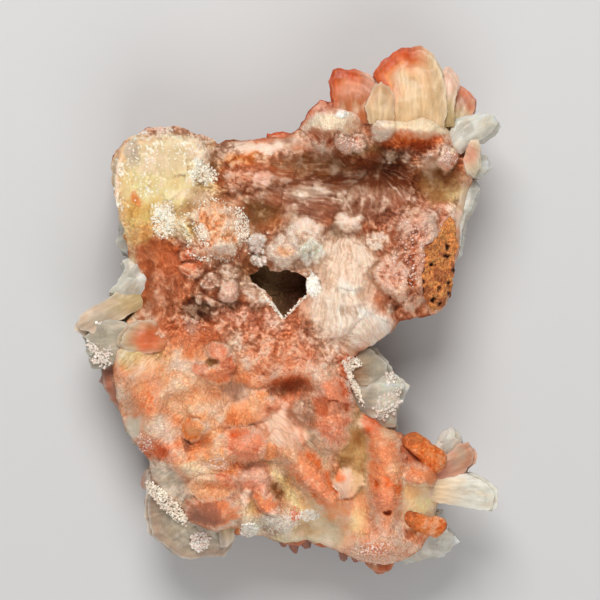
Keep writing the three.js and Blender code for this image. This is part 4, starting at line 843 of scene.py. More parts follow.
        fine, small, medium, broad = (
            (self.height - running_mean(self.height, reach)) / size for reach, size in RELIEF_SCALES)
        rough = np.clip(1 - 0.75 * glass - 0.5 * silk, 0, 1)
        tint = blend(tint, "white", 0.5 * druse * ramp(fine + small, 0.2, 2.2))
        streak = strands(self.way, 0.7, 3.5, 74) + 0.6 * strands(self.way, 0.35, 3, 75)
        tint = blend(tint, "white", 0.18 * silk * ramp(streak, 0, 1.2))
        # Painted shade and light from the relief: darker where the face lies below its surroundings, in gaps
        relief_shade = sum(share * np.clip(v, -1.5, 1.5) for share, v in ((0.5, fine), (0.6, small), (0.5, medium)))
        # and crevices, and lighter where it rises above them
        relief_shade = rough * settings.painted_gap_shade * (1 - 0.55 * self.lower) * (relief_shade + 0.5 * streak)
        relief_shade = np.clip(relief_shade + np.clip(0.4 * broad, -0.8, 0.1), -2.2, 1.4)
        shade_warmth = (1 - tint[..., 2:] / (tint[..., :1] + 1e-6)) * GAP_SHADE_WARMTH
        tint = tint * np.exp(relief_shade[..., None] * (GAP_SHADE_DEPTH + shade_warmth))
        # Painted highlight: tips that rise above their surroundings are made paler
        tip = np.clip(0.5 * small + 0.3 * medium - 0.4, 0, 1) * settings.tip_highlight
        tint = blend(tint, "shell", 0.35 * tip * rough) * (1 + 0.2 * self.lower)[..., None]
        light = tint.mean(axis=-1)
        crisp = CRISPNESS * (1 - 0.2 * self.lower[..., None])
        tint = tint * (light / running_mean(light, 6))[..., None] ** crisp
        tint = tint * (light / running_mean(light, 1))[..., None] ** 0.5
        tint = tint * (BRIGHTEST / np.maximum(tint.max(axis=-1), BRIGHTEST))[..., None]
        return tint ** FACE_CURVE

    def sample(self, values, x, y):
        """Reads a field between its grid points."""
        gx = np.clip((x - self.low[0]) / self.step, 0, self.x.shape[0] - 1.001)
        gy = np.clip((y - self.low[1]) / self.step, 0, self.x.shape[1] - 1.001)
        ix, iy = gx.astype(int), gy.astype(int)
        fx, fy = gx - ix, gy - iy
        if values.ndim == 3:
            fx, fy = fx[..., None], fy[..., None]
        near = values[ix, iy] * (1 - fy) + values[ix, iy + 1] * fy
        far = values[ix + 1, iy] * (1 - fy) + values[ix + 1, iy + 1] * fy
        return near * (1 - fx) + far * fx


class Shell:
    """Points, triangles, colours and growth coordinates that build up into one mesh."""

    def __init__(self):
        self.points, self.faces, self.tints, self.marks = [], [], [], []
        self.count = 0

    def add(self, points, faces, tint, marks=0):
        self.points.append(np.asarray(points, float))
        self.faces.append(faces + self.count)
        self.tints.append(np.broadcast_to(tint, points.shape))
        self.marks.append(np.broadcast_to(marks, points.shape))
        self.count += len(points)

    def build(self, name, material, node="stilbite_cluster", slot="stilbite", sharp=None, extra=None):
        """Makes the piece, in metres and in the frame of the solid."""
        points = (np.concatenate(self.points) + [*TO_MIDDLE, 0]) * MM
        faces = np.concatenate(self.faces)
        mesh = bpy.data.meshes.new(name)
        mesh.vertices.add(len(points))
        mesh.vertices.foreach_set("co", points.astype(np.float32).ravel())
        mesh.loops.add(faces.size)
        mesh.loops.foreach_set("vertex_index", faces.astype(np.int32).ravel())
        mesh.polygons.add(len(faces))
        mesh.polygons.foreach_set("loop_start", np.arange(0, faces.size, 3, dtype=np.int32))
        mesh.update(calc_edges=True)
        mesh.validate()
        tint = mesh.color_attributes.new("tint", "FLOAT_COLOR", "POINT")
        full = np.ones((len(points), 4), np.float32)
        full[:, :3] = np.clip(np.concatenate(self.tints), 0, 1)
        tint.data.foreach_set("color", full.ravel())
        for label, values in {"growth": np.concatenate(self.marks), **(extra or {})}.items():
            layer = mesh.attributes.new(label, "FLOAT_VECTOR", "POINT")
            layer.data.foreach_set("vector", values.astype(np.float32).ravel())
        mesh.shade_smooth()
        if sharp is not None:
            mesh.set_sharp_from_angle(angle=math.radians(sharp))
        mesh.materials.append(material)
        made = bpy.data.objects.new(name, mesh)
        bpy.context.scene.collection.objects.link(made)
        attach(made, "root")
        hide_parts(node)
        return made


def dense_rim(rim, step, wander, size, seed):
    """A rim with points every step or so, which strays to either side of its line."""
    points = []
    for (ax, ay), (bx, by) in zip(rim, np.roll(rim, -1, axis=0)):
        pieces = max(1, round(math.hypot(bx - ax, by - ay) / step))
        points += [(ax + k / pieces * (bx - ax), ay + k / pieces * (by - ay)) for k in range(pieces)]
    points = np.array(points)
    way = np.roll(points, -1, axis=0) - np.roll(points, 1, axis=0)
    way /= np.linalg.norm(way, axis=1)[:, None] + 1e-9
    stray = wander * fractal(points[:, 0] / size, points[:, 1] / size, 0, 3, seed)
    return points + np.stack([way[:, 1], -way[:, 0]], axis=1) * stray[:, None]


def triangulate(rings, inner):
    """Points and triangles that fill the first ring, without the ones inside the others."""
    points = [Vector(p) for ring in rings for p in ring] + [Vector(p) for p in inner]
    edges, start = [], 0
    for ring in rings:
        edges += [(start + k, start + (k + 1) % len(ring)) for k in range(len(ring))]
        start += len(ring)
    made = delaunay_2d_cdt(points, edges, [], 0, 1e-6, False)
    plan, faces = np.array([tuple(p) for p in made[0]]), np.array(made[2])
    middles = plan[faces].mean(axis=1).T
    kept = inside(*middles, rings[0])
    for hole in rings[1:]:
        kept &= ~inside(*middles, hole)
    used, flat = np.unique(faces[kept], return_inverse=True)
    plan, faces = plan[used], flat.reshape(-1, 3)
    a, b, c = plan[faces[:, 0]], plan[faces[:, 1]], plan[faces[:, 2]]
    area = (b[:, 0] - a[:, 0]) * (c[:, 1] - a[:, 1]) - (b[:, 1] - a[:, 1]) * (c[:, 0] - a[:, 0])
    faces[area < 0] = faces[area < 0][:, ::-1]
    return plan, faces


def open_edges(faces):
    """Edges that only one triangle has, in the direction that the triangle runs them."""
    edges = np.concatenate([faces[:, [0, 1]], faces[:, [1, 2]], faces[:, [2, 0]]])
    key = edges.min(axis=1) * (faces.max() + 1) + edges.max(axis=1)
    _, first, count = np.unique(key, return_index=True, return_counts=True)
    return edges[first[count == 1]]


def ring_of(edges):
    """The points on some edges, and the edges numbered by their places among these points."""
    ring, flat = np.unique(edges, return_inverse=True)
    return ring, flat.reshape(edges.shape)


def grid_inside(rim, step, margin):
    """Points of a staggered grid inside a rim, no nearer to it than the margin."""
    low, high = np.min(rim, axis=0), np.max(rim, axis=0)
    xs = np.arange(low[0], high[0] + step, step)
    ys = np.arange(low[1], high[1] + step, step * 0.87)
    x, y = np.meshgrid(xs, ys, indexing="ij")
    x = x + np.where(np.arange(len(ys)) % 2, step / 2, 0)[None, :]
    kept = rim_distance(x, y, rim) > margin
    return np.stack([x[kept], y[kept]], axis=1)


def curtain(shell, top, edges, rows, tint, marks=np.zeros((1, 3))):
    """Hangs a strip from open edges. Rows holds its lower rows of points, and the colours and growth
    coordinates are those of the top row or of them all."""
    points = np.concatenate([top] + rows)
    tint, marks = (np.tile(v, (len(points) // len(v), 1)) for v in (tint, marks))
    a, b = edges[:, 0], edges[:, 1]
    faces = []
    for upper in range(0, len(rows) * len(top), len(top)):
        lower = upper + len(top)
        faces.append(np.stack([b + upper, a + upper, a + lower], axis=1))
        faces.append(np.stack([b + upper, a + lower, b + lower], axis=1))
    shell.add(points, np.concatenate(faces), tint, marks)


def grown_face(field, shell, lining):
    """The broken face with its rim turned down, and the wall and floor of the pocket in it."""
    outline = dense_rim(MASS_RIM, 0.35, *RIM_WANDER)
    mouth = dense_rim(POCKET_MOUTH, 0.25, 0.3, 1.1, 102)
    x, y = field.x.ravel(), field.y.ravel()
    kept = (rim_distance(x, y, MASS_RIM) > -0.7) & (rim_distance(x, y, POCKET_MOUTH) < 0.6)
    plan, faces = triangulate([outline, mouth], np.stack([x, y], axis=1)[kept])
    height, tint, way, kinds = (
        field.sample(v, *plan.T) for v in (field.height, field.tint, field.way, field.kinds[..., :3]))
    points = np.column_stack([plan, height])
    shell.add(points, faces, tint, way)

    edges = open_edges(faces)
    by_mouth = rim_distance(*plan[edges[:, 0]].T, POCKET_MOUTH) > -1.0
    ring, local = ring_of(edges[by_mouth])
    pocket_wall(lining, points[ring], local)
    ring, local = ring_of(edges[~by_mouth])
    top = points[ring]
    away = top[:, :2] - FACE_MIDDLE
    away /= np.linalg.norm(away, axis=1)[:, None]
    rows = []
    for share in (0.3, 0.65, 1.0):
        row = top.copy()
        row[:, 2] += (HEM_LEVEL - top[:, 2]) * share
        bulge = 0.35 * fractal(top[:, 0] / 1.4, top[:, 1] / 1.4, share * 2, 2, 33)
        row[:, :2] += away * (bulge - 0.5 * share)[:, None]
        rows.append(row)
    # The turned-down rim takes the face's colour darkened by a tenth as painted shade
    curtain(shell, top, local, rows, tint[ring] * 0.9, way[ring])
    return np.concatenate([kinds, np.tile(kinds[ring], (4, 1))])


def pocket_wall(lining, top, edges):
    """The wall of the pocket bulges under its mouth and closes in a knobbly floor."""
    out = top[:, :2] - POCKET_MIDDLE
    reach = np.linalg.norm(out, axis=1)
    out = out / reach[:, None]
    rows, tints = [], [np.tile(blend("silk", "tan", 0.3), (len(top), 1))]
    for step in range(1, WALL_ROWS + FLOOR_ROWS + 1):
        wall = min(1.0, step / WALL_ROWS)
        shut = max(0.0, (step - WALL_ROWS) / FLOOR_ROWS)
        bulge = 1.9 * math.sin(math.pi * min(1.0, wall * 0.9)) * (1 - shut)
        rough = 0.55 * fractal(3.2 * out[:, 0], 3.2 * out[:, 1], step * 0.45, 3, 51)
        radius = (reach + bulge + rough) * (1 - 0.97 * shut)
        x, y = (POCKET_MIDDLE + out * radius[:, None]).T
        depth = top[:, 2] + (POCKET_FLOOR + 0.4 - top[:, 2]) * wall
        rows.append(np.column_stack([x, y, depth + 0.5 * fractal(x / 1.2, y / 1.2, 0, 3, 52) * wall]))
        # Painted shade: the wall is darker the deeper it goes
        shade = blend("tan", "dark", 0.25 + 0.6 * wall)
        tints.append(blend(shade, "olive", 0.75 * ramp(-x - 1.5 + 1.5 * rough, -2, 3)))
    curtain(lining, top, edges, rows, np.concatenate(tints))


def crystal_side(shell):
    """The other side of the mass, knobbly between the roots of the sheaves."""
    outline = dense_rim(MASS_RIM, 0.7, *RIM_WANDER)
    plan, faces = triangulate([outline], grid_inside(MASS_RIM, 0.75, 0.5))
    x, y = plan.T
    near, gap, number, *_ = cells(x / KNOB_WIDTH, y / KNOB_WIDTH, 15)
    knobs = (1 - 1.3 * near * near) * (0.5 + number)
    height = back_height(x, y) + 0.6 * fractal(x / 5, y / 5, 0, 3, 16) - 0.9 * knobs
    tint = blend("peach", "orange", ramp(fractal(x / 6, y / 6, 0, 3, 17), -0.2, 0.9))
    tint = blend(tint, "silk", 0.6 * ramp(knobs, 0.4, 1.2))
    tint = blend(tint, "flank", 0.6 * ramp(gap, 0.2, 0.0))
    shell.add(np.column_stack([plan, height]), faces[:, ::-1], tint)


def leaned(points, middle, level, lean):
    """Turns points about X and then Y, in degrees, round a middle at a level."""
    x, y, z = points[:, 0] - middle[0], points[:, 1] - middle[1], points[:, 2]
    y, z = turned(y, z, math.radians(lean[0]))
    z, x = turned(z, x, math.radians(lean[1]))
    return np.column_stack([x + middle[0], y + middle[1], z + level])


def rim_crystal(shell, crystal, seed, step):
    """A bundle of thin blades over one plan: they fan out a little, end at slightly different
    lengths, and carry growth lines from root to tip."""
    rim = np.array(crystal["rim"], float)
    low, high = crystal["low"], crystal["high"]
    clear, arcs = crystal.get("clear"), crystal.get("arcs")
    root = (rim[0] + rim[-1]) / 2
    local = rim - root
    far = np.linalg.norm(local, axis=1)
    reach = far.max()
    axis = local[far > 0.6 * reach].mean(axis=0)
    axis /= np.linalg.norm(axis)
    side = np.array([-axis[1], axis[0]])
    middle = (rim.min(axis=0) + rim.max(axis=0)) / 2
    layers = max(2, round((high - low) / (CLEAR_THICKNESS if clear else BLADE_THICKNESS)))
    half = (high - low) / layers / 2
    for layer in range(layers):
        top = layer == layers - 1
        chance = dice(layer * 1.0, 3, seed, 5)
        length = 0.95 if top else 1.0 if layer == layers - 2 else 0.88 + 0.12 * chance
        turn = 0 if top else math.radians(LAYER_TURN * (chance - 0.5))
        plan_rim = turned(local @ axis * length, local @ side * (0.97 if top else 1.0), turn)
        outline = dense_rim(np.stack(plan_rim, axis=1), 0.32 if top else 0.6, 0.13, 0.8, seed + layer)
        notch = noise(outline[:, 1] / NOTCH_WIDTH, layer * 2.0, 0, seed + 20)
        notch = np.floor(2.5 * (notch + 1)) / 2.5 * (0.15 if arcs else 0.45)
        outline[:, 0] -= notch * ramp(outline[:, 0] / reach, 0.45, 0.8)
        plan, faces = triangulate([outline], grid_inside(outline, step if top else 2.2 * step, 0.12))
        u, v = plan.T
        depth = rim_distance(u, v, outline)
        out = np.clip(np.hypot(u, v) / reach, 0, 1.1)
        fan = v / (u + 0.9 * reach) * reach
        lines = fractal(fan / 0.55, out * 1.2, layer * 3.0, 2, seed + 30)
        if arcs:
            behind = outline - np.outer(ramp(outline[:, 0] / reach, 0.3, 0.15), (2 * reach, 0))
            deep = rim_distance(u, v, behind)
            lines = 0.8 * fractal(deep / 0.4, fan * 0.15, layer * 3.0, 3, seed + 30) + 0.35 * lines
        terrace = np.floor(3 * noise(fan / 2.2, out * 2.4, layer * 1.0, seed + 40)) / 3
        *_, number, ox, oy = cells(u / 3.1 + seed, v / 1.7, seed + 45)
        facet = tilted(number, ox, 0.6 * oy) * (0.9 if clear else 0.25)
        bevel = half * (0.86 + 0.2 * ramp(depth, 0.0, 0.8))
        swell = 0.07 * lines * ramp(depth, 0, 0.4) + (0.16 * terrace + facet) * ramp(depth, 0.2, 0.6)
        base = low + (2 * layer + 1) * half - (low + high) / 2
        taper = 1 - RIM_TAPER * out * out
        wave = 0.35 * fractal(u / 3, v / 3, 0, 2, seed + 55)
        world = root + u[:, None] * axis + v[:, None] * side
        upper, lower = (
            leaned(np.column_stack([world, z * taper + wave]), middle, (low + high) / 2, crystal["lean"])
            for z in (base + bevel + swell, base - bevel))
        tint = crystal_tint(crystal, u, v, out, depth, lines, seed + layer)
        # Painted light and shade: each facet of a clear crystal is made lighter or darker
        if clear:
            tint = np.clip(tint * (0.84 + 0.3 * number)[:, None], 0, PALEST)
        marks = np.column_stack([fan, u, np.exp(-np.clip(depth, 0, 9) / 0.5)])
        shell.add(upper, faces, tint, marks)
        shell.add(lower, faces[:, ::-1], tint, marks)
        ring, edges = ring_of(open_edges(faces))
        curtain(shell, upper[ring], edges, [lower[ring]], tint[ring], marks[ring])


def crystal_tint(crystal, u, v, out, depth, lines, seed):
    """From the root's tone to the tip's, stained red at the outer edge, with milky veils, and whiter near
    the edges, partly their frosting and partly painted light.
    """
    reach, clear = np.abs(u).max(), crystal.get("clear")
    tint = blend(*crystal["tones"], ramp(out, 0.25, 0.7))
    veil = ramp(fractal(u / 2.6, v / 1.1, 0, 3, seed + 50), -0.1, 0.9)
    tint = blend(tint, "cream", 0.4 * veil)
    blotch = fractal(u / 2.2, v / 2.2, 4, 3, seed + 60) + 0.5 * lines
    if "core" in crystal:
        middle = np.hypot(u / reach - 0.4, v / reach)
        tint = blend(tint, crystal["core"], 0.9 * ramp(middle + 0.1 * blotch, 0.62, 0.1))
    where = ramp(out + 0.1 * blotch, 0.3, 0.6) * crystal.get("stain", 0)
    if "side" in crystal:
        where = where * ramp(v / reach, -0.3, 0.05)
    wide = where * ramp(depth + 0.9 * blotch, 0.36 * reach, 0.06 * reach)
    tint = blend(tint, "orange", 0.85 * wide)
    narrow = where * ramp(depth + 0.6 * blotch, 0.17 * reach, 0.02 * reach)
    tint = blend(tint, "red", narrow)
    # Whiter near the edges: partly the edges' frosting, partly painted light
    frost = np.exp(-np.clip(depth, 0, 9) / 0.35) * (1 - 0.85 * narrow) * ramp(out, 0.2, 0.5)
    tint = blend(tint, "white", (0.75 if clear else 0.4) * frost)
    lined = tint * (1 + (0.2 if crystal.get("arcs") else 0.15) * lines[:, None])
    return np.clip(lined, 0, PALEST) ** CRYSTAL_CURVE


def tube_faces(rings, around):
    """Triangles of a tube of rings of points, closed by a fan at each end."""
    a = np.arange((rings - 1) * around)
    b = a + 1 - around * (a % around == around - 1)
    fan = np.array([(0, k, k + 1) for k in range(1, around - 1)])
    return np.concatenate([
        np.stack([a, b, b + around], axis=1), np.stack([a, b + around, a + around], axis=1),
        fan + (rings - 1) * around, fan[:, ::-1]])


def finger(shell, start, end, radius, name, seed):
    """A rounded finger of radiating needles, knobbly along its length."""
    start, end = np.array(start), np.array(end)
    way = (end - start) / np.linalg.norm(end - start)
    side = np.cross(way, (0, 0, 1.0))
    side /= np.linalg.norm(side)
    up = np.cross(side, way)
    length = np.linalg.norm(end - start) + 2 * radius
    rows, around = max(8, round(length / FINGER_STEP)), FINGER_AROUND
    turns = np.linspace(0, 2 * np.pi, around, False)
    t, angle = np.meshgrid(np.linspace(0.01, 0.99, rows), turns, indexing="ij")
    along = t * length - radius
    cap = np.minimum(1, np.minimum(t, 1 - t) * length / radius)
    ring = radius * np.sqrt(np.clip(1 - (1 - cap) ** 2, 0, 1))
    ca, sa = np.cos(angle), np.sin(angle)
    knob = fractal(along / 1.6, ca * radius / 1.6 + 5, sa * radius / 1.6, 3, seed)
    prick = noise(along / 0.4, ca * radius / 0.4, sa * radius / 0.4, seed + 5)
    ring = ring * (1 + 0.16 * knob) * (0.85 + 0.25 * t) + 0.06 * prick
    bend = FINGER_BEND * math.sin(seed) * np.sin(np.pi * t)
    points = start + along[..., None] * way
    points = points + (ring * ca + bend)[..., None] * side + (ring * sa)[..., None] * up
    tint = blend(name, "rust", 0.6 * ramp(t + 0.15 * knob, 0.45, 0.05))
    # Painted highlight: peach on the raised knobs and towards the far end; painted shade: deeper colour
    tint = blend(tint, "peach", 0.55 * ramp(prick + knob + 1.4 * (t - 0.5), 0.3, 1.5))
    # in the dips between them
    tint = tint ** (1 + 0.6 * np.clip(-prick - 0.5 * knob, 0, 1))[..., None]
    shell.add(points.reshape(-1, 3), tube_faces(rows, around), tint.reshape(-1, 3))


def grain_bed(shell, field, bed, seed):
    """Sugary grains strewn over a bed: small blocky crystals, half sunk and each tilted its own way."""
    cx, cy, long, wide, turn, number, size, name, at_edge, *ledge = bed
    dies = np.random.default_rng(seed)
    angle = dies.random(number) * 2 * np.pi
    spread = np.sqrt(dies.random(number)) * (0.75 + 0.35 * dies.random(number))
    if at_edge:
        spread = 0.86 + 0.2 * dies.random(number) + 0.1 * np.sin(5 * angle)
    x, y = turned(long * spread * np.cos(angle), wide * spread * np.sin(angle), math.radians(turn))
    x, y = cx + x, cy + y
    z = field.sample(field.height, x, y)
    if ledge:
        heap = 0.9 * (1 - spread * spread) * dies.random(number)
        z = np.maximum(z, ledge[0] + heap)
    if len(ledge) > 1:
        z = ledge[0] + ledge[1] * (x - cx) + 0.4 * heap
    scale = size * (0.55 + 0.9 * dies.random(number) ** 2)
    yaw = dies.random(number) * 2 * np.pi
    tilt_x, tilt_y = dies.normal(size=number) * GRAIN_TILT, dies.normal(size=number) * GRAIN_TILT
    stretch = [scale, scale * (0.6 + 0.5 * dies.random(number)), scale * (0.7 + 0.5 * dies.random(number))]
    px, py, pz = np.moveaxis(GRAIN_CORNERS * np.stack(stretch, axis=1)[:, None, :], -1, 0)
    py, pz = turned(py, pz, tilt_x[:, None])
    pz, px = turned(pz, px, tilt_y[:, None])
    px, py = turned(px, py, yaw[:, None])
    points = np.stack([px + x[:, None], py + y[:, None], pz + (z - 0.05 * scale)[:, None]], axis=-1)
    tint = blend(field.sample(field.tint, x, y), name, 0.6 + 0.4 * dies.random(number))
    faces = GRAIN_FACES + 8 * np.arange(number)[:, None, None]
    shell.add(points.reshape(-1, 3), faces.reshape(-1, 3), np.repeat(tint, 8, axis=0))


def blade(width, thickness, length, slant, rows=7):
    """A flat crystal that starts at the origin and runs along +Y, with a gabled tip."""
    outline = np.array([(-0.5, 0), (-0.36, 0.5), (0.36, 0.5), (0.5, 0), (0.36, -0.5), (-0.36, -0.5)])
    points = []
    for t in np.arange(rows + 1) / rows:
        tip = max(0.0, (t - 0.78) / 0.22)
        wide = width * (0.66 + 0.34 * min(1, t * 1.5)) * (1 - 0.72 * tip)
        thin = thickness * (0.7 + 0.3 * min(1, t * 1.5)) * (1 - 0.45 * tip)
        points.append(np.column_stack([
            outline[:, 0] * wide + slant * tip * width * 0.25,
            length * t - tip * slant * outline[:, 0] * width * 0.35, outline[:, 1] * thin]))
    return np.concatenate(points), tube_faces(rows + 1, 6)


def place_blade(shell, points, faces, tint, swing, root, floor):
    """Turns a blade and puts it in its place, no lower than the floor."""
    placed = points @ swing.T + root
    placed[:, 2] = np.maximum(placed[:, 2], floor)
    shell.add(placed, faces, tint, points * (1, 1, 0))


def sheaf(shell, x, y, tip, width, thickness, turn, upright, seed):
    """A sheaf of the crystal side: blades that share a root and fan out to notched tips."""
    dies = np.random.default_rng(seed)
    direction, length = Vector((0, 0, -1)), SHEAF_ROOT
    if not upright:
        reach = min(1, math.hypot(x, y) / LEAN_REACH)
        outward, away = LEAN_AT_RIM * reach * reach, math.atan2(y, x)
        stray = [LEAN_STRAY * (2 * dice(x, y, k, 0) - 1) for k in (5, 6)]
        lean = outward * math.cos(away) + stray[0], outward * math.sin(away) + stray[1]
        direction = Vector((math.tan(math.radians(lean[0])), math.tan(math.radians(lean[1])), -1))
        length = (SHEAF_ROOT - tip) * direction.length
    swing = Vector((0, 1, 0)).rotation_difference(direction.normalized()).to_matrix()
    swing = np.array(swing @ Matrix.Rotation(math.radians(turn), 3, "Y"))
    rusty = y < RUST_BELOW
    for layer, across in enumerate((2, 3, 2)):
        pitch = ROOT_SHARE * width / across
        for place in range(across):
            offset = (place - (across - 1) / 2) * pitch * 1.25
            share = 0.86 + 0.14 * dies.random()
            if layer == 1 and place == 1:
                share = 1.0
            points, faces = blade(pitch * 1.7, thickness * 0.36, length * share, dies.uniform(-1, 1))
            splay = -math.atan2(offset * (1 / ROOT_SHARE - 1), length) + math.radians(dies.uniform(-2, 2))
            tilt = math.atan2((layer - 1) * thickness * 0.16, length)
            local = np.array(Matrix.Rotation(splay, 3, "Z") @ Matrix.Rotation(tilt, 3, "X"))
            points = points @ local.T + [offset * ROOT_SHARE, 0, (layer - 1) * thickness / 3]
            along = np.clip(points[:, 1] / length, 0, 1)
            body = blend("peach", "beige", dies.random())
            tint = blend("rust" if rusty else body, "silk", (0.1 if rusty else 0.5) * ramp(along, 0.1, 0.6))
            stain = (0.35 + 0.4 * dies.random()) * ramp(along, 0.62, 1.0)
            tint = blend(tint, "rust" if rusty else "orange", stain)
            place_blade(shell, points, faces, tint, swing, [x, y, SHEAF_ROOT], 0)


def rim_blades(shell):
    """Small blades round the rim, pointing out and down between the larger ones."""
    dies = np.random.default_rng(77)
    rim = dense_rim(MASS_RIM, RIM_BLADE_STEP, 0, 1, 0)
    ahead = np.roll(rim, -1, axis=0) - np.roll(rim, 1, axis=0)
    for (x, y), (dx, dy) in zip(rim, ahead):
        out = Vector((-dy, dx, 0)).normalized()
        for level in RIM_BLADE_LEVELS:
            if dies.random() < 0.18:
                continue
            down = dies.uniform(1.0, 2.4)
            direction = (out + Vector((dies.normal() * 0.3, dies.normal() * 0.3, -down))).normalized()
            swing = Vector((0, 1, 0)).rotation_difference(direction).to_matrix()
            swing = np.array(swing @ Matrix.Rotation(dies.uniform(0, 6.3), 3, "Y"))
            length = dies.uniform(4.0, 6.5)
            points, faces = blade(
                dies.uniform(2, 4), dies.uniform(0.8, 1.5), length, dies.uniform(-1, 1), rows=4)
            inset = max(length / math.hypot(1, down) + 0.4, 3.4) + (1.6 if y < RUST_BELOW else 0)
            root = [x - out.x * inset, y - out.y * inset, level + dies.uniform(-1, 1)]
            tint = blend(blend("silk", "ash", dies.random()), "peach", 0.8 * dies.random())
            tint = blend(tint, "orange", dies.random() ** 2 * ramp(points[:, 1] / length, 0.5, 1.0))
            place_blade(shell, points, faces, tint, swing, root, 0.4)


def matrix_scab(shell):
    """The spongy scab of matrix, full of pits, a little proud of the face."""
    outline = dense_rim(MATRIX_RIM, 0.25, 0.5, 1.3, 111)
    plan, faces = triangulate([outline], grid_inside(MATRIX_RIM, 0.2, 0.1))
    x, y = plan.T
    height = face_height(np.minimum(x, 31.5), y) + 0.6 + 0.5 * fractal(x / 2.4, y / 2.4, 0, 3, 112)
    wx, wy = warped(x, y, 0.3, 0.9, 113)
    wide, _, number, *_ = cells(wx / PIT_WIDTH, wy / PIT_WIDTH, 114)
    pits = ramp(wide, 0.42, 0.12) * ramp(number, 0.62, 0.72)
    fine, _, speck, *_ = cells(wx / POCK_WIDTH, wy / POCK_WIDTH, 115)
    pocks = ramp(fine, 0.45, 0.1) * ramp(speck, 0.45, 0.65)
    crumb = noise(x / 0.3, y / 0.3, 0, 116)
    height = height - PIT_DEPTH * pits - 0.35 * pocks + 0.2 * crumb
    height = height - 0.6 * ramp(rim_distance(x, y, MATRIX_RIM), 0.7, 0.0)
    tint = blend("scab", "ochre", 0.8 * ramp(crumb + 0.5 * fractal(x / 1.5, y / 1.5, 0, 2, 117), 0.2, 1.0))
    tint = blend(tint, "iron", 0.7 * ramp(fractal(x / 1.8, y / 1.8, 5, 3, 118), 0.1, 0.8))
    tint = blend(tint, "pit", pits + 0.5 * pocks)
    upper = np.column_stack([plan, height])
    shell.add(upper, faces, tint)
    ring, edges = ring_of(open_edges(faces))
    floor = face_height(np.array([29.5]), np.array([9.0]))[0] - SCAB_THICKNESS
    drop = (0, 0, 1) * (floor - upper[ring])
    curtain(shell, upper[ring], edges, [upper[ring] + drop * share for share in (0.35, 0.7, 1.0)], tint[ring])
    shell.add(np.column_stack([plan, np.full(len(plan), floor)]), faces[:, ::-1], tint)


class Nodes:
    """Adds nodes to a tree. Inputs are given as {input: output socket or plain value}."""

    def __init__(self, tree):
        self.tree = tree

    def feed(self, node, values):
        for key, value in values.items():
            if isinstance(value, bpy.types.NodeSocket):
                self.tree.links.new(value, node.inputs[key])
            else:
                node.inputs[key].default_value = value
        return node

    def add(self, kind, values, **settings):
        node = self.tree.nodes.new("ShaderNode" + kind)
        for key, value in settings.items():
            setattr(node, key, value)
        return self.feed(node, values)

    def maths(self, operation, a, b, clamp=False):
        return self.add("Math", {0: a, 1: b}, operation=operation, use_clamp=clamp).outputs[0]

    def times(self, a, b):
        return self.maths("MULTIPLY", a, b)

    def plus(self, a, b, clamp=False):
        return self.maths("ADD", a, b, clamp)

    def minus(self, a, b, clamp=False):
        return self.maths("SUBTRACT", a, b, clamp)

    def between(self, value, low, high, to_low=0.0, to_high=1.0):
        links = {"Value": value, "From Min": low, "From Max": high, "To Min": to_low, "To Max": to_high}
        return self.add("MapRange", links).outputs["Result"]

    def noise(self, place, roughness):
        """Fine noise, one cell to each unit of the place."""
        values = {"Vector": place, "Scale": 1.0, "Detail": 3.0, "Roughness": roughness}
        return self.add("TexNoise", values).outputs["Fac"]

    def scaled_place(self, size):
        """Places and scale for a texture whose features are so many millimetres wide."""
        where = self.add("TexCoord", {})
        return {"Vector": where.outputs["Object"], "Scale": self.maths("DIVIDE", 1 / MM, size)}

    def layer(self, name, output="Vector"):
        """One of the layers of colour or places that the mesh carries."""
        return self.add("Attribute", {}, attribute_name=name).outputs[output]

    def shaded(self, colour, factor):
        """A colour darkened or lightened by a factor."""
        return self.add("VectorMath", {0: colour, 1: factor}, operation="MULTIPLY").outputs[0]

    def bump(self, strength, distance, height):
        return self.add("Bump", {"Strength": strength, "Distance": distance, "Height": height}).outputs[0]

    def group(self, make, **values):
        """Puts a shared group into a material, making it when it is first used. Returns its outputs."""
        label = make.__name__.replace("_", " ").capitalize()
        shared = bpy.data.node_groups.get(label) or make(label)
        named = {key.replace("_", " "): value for key, value in values.items()}
        return self.add("Group", named, node_tree=shared).outputs


def node_group(name, inputs, outputs):
    """An empty shader group with named sockets: inputs with their defaults, places where that is None."""
    tree = bpy.data.node_groups.new(name, "ShaderNodeTree")
    for label, default in inputs.items():
        kind = "NodeSocketVector" if default is None else "NodeSocketFloat"
        socket = tree.interface.new_socket(name=label, in_out="INPUT", socket_type=kind)
        if default is not None:
            socket.default_value = default
    for label in outputs:
        tree.interface.new_socket(name=label, in_out="OUTPUT", socket_type="NodeSocketFloat")
    start, end = tree.nodes.new("NodeGroupInput"), tree.nodes.new("NodeGroupOutput")
    return Nodes(tree), start.outputs, end


def silky_fibres(label):
    """Fine streaks that follow the fibres of the stone, and none where they are seen end on."""
    nodes, given, end = node_group(
        label, {"Way": None, "Width in mm": 0.26, "Length in mm": 2.6}, ("Streak", "Height"))
    apart = nodes.add("SeparateXYZ", {0: given["Way"]}).outputs
    sizes = ("Width in mm", "Width in mm", "Length in mm")
    scaled = {k: nodes.maths("DIVIDE", apart[k], given[size]) for k, size in enumerate(sizes)}
    place = nodes.add("CombineXYZ", scaled).outputs[0]
    fine = nodes.noise(place, 0.6)
    seen = nodes.between(apart[2], *END_ON)
    streak = nodes.times(nodes.between(fine, 0.3, 0.7, -0.5, 0.5), seen)
    nodes.feed(end, {"Streak": nodes.plus(streak, 0.5), "Height": nodes.times(fine, seen)})
    return nodes.tree


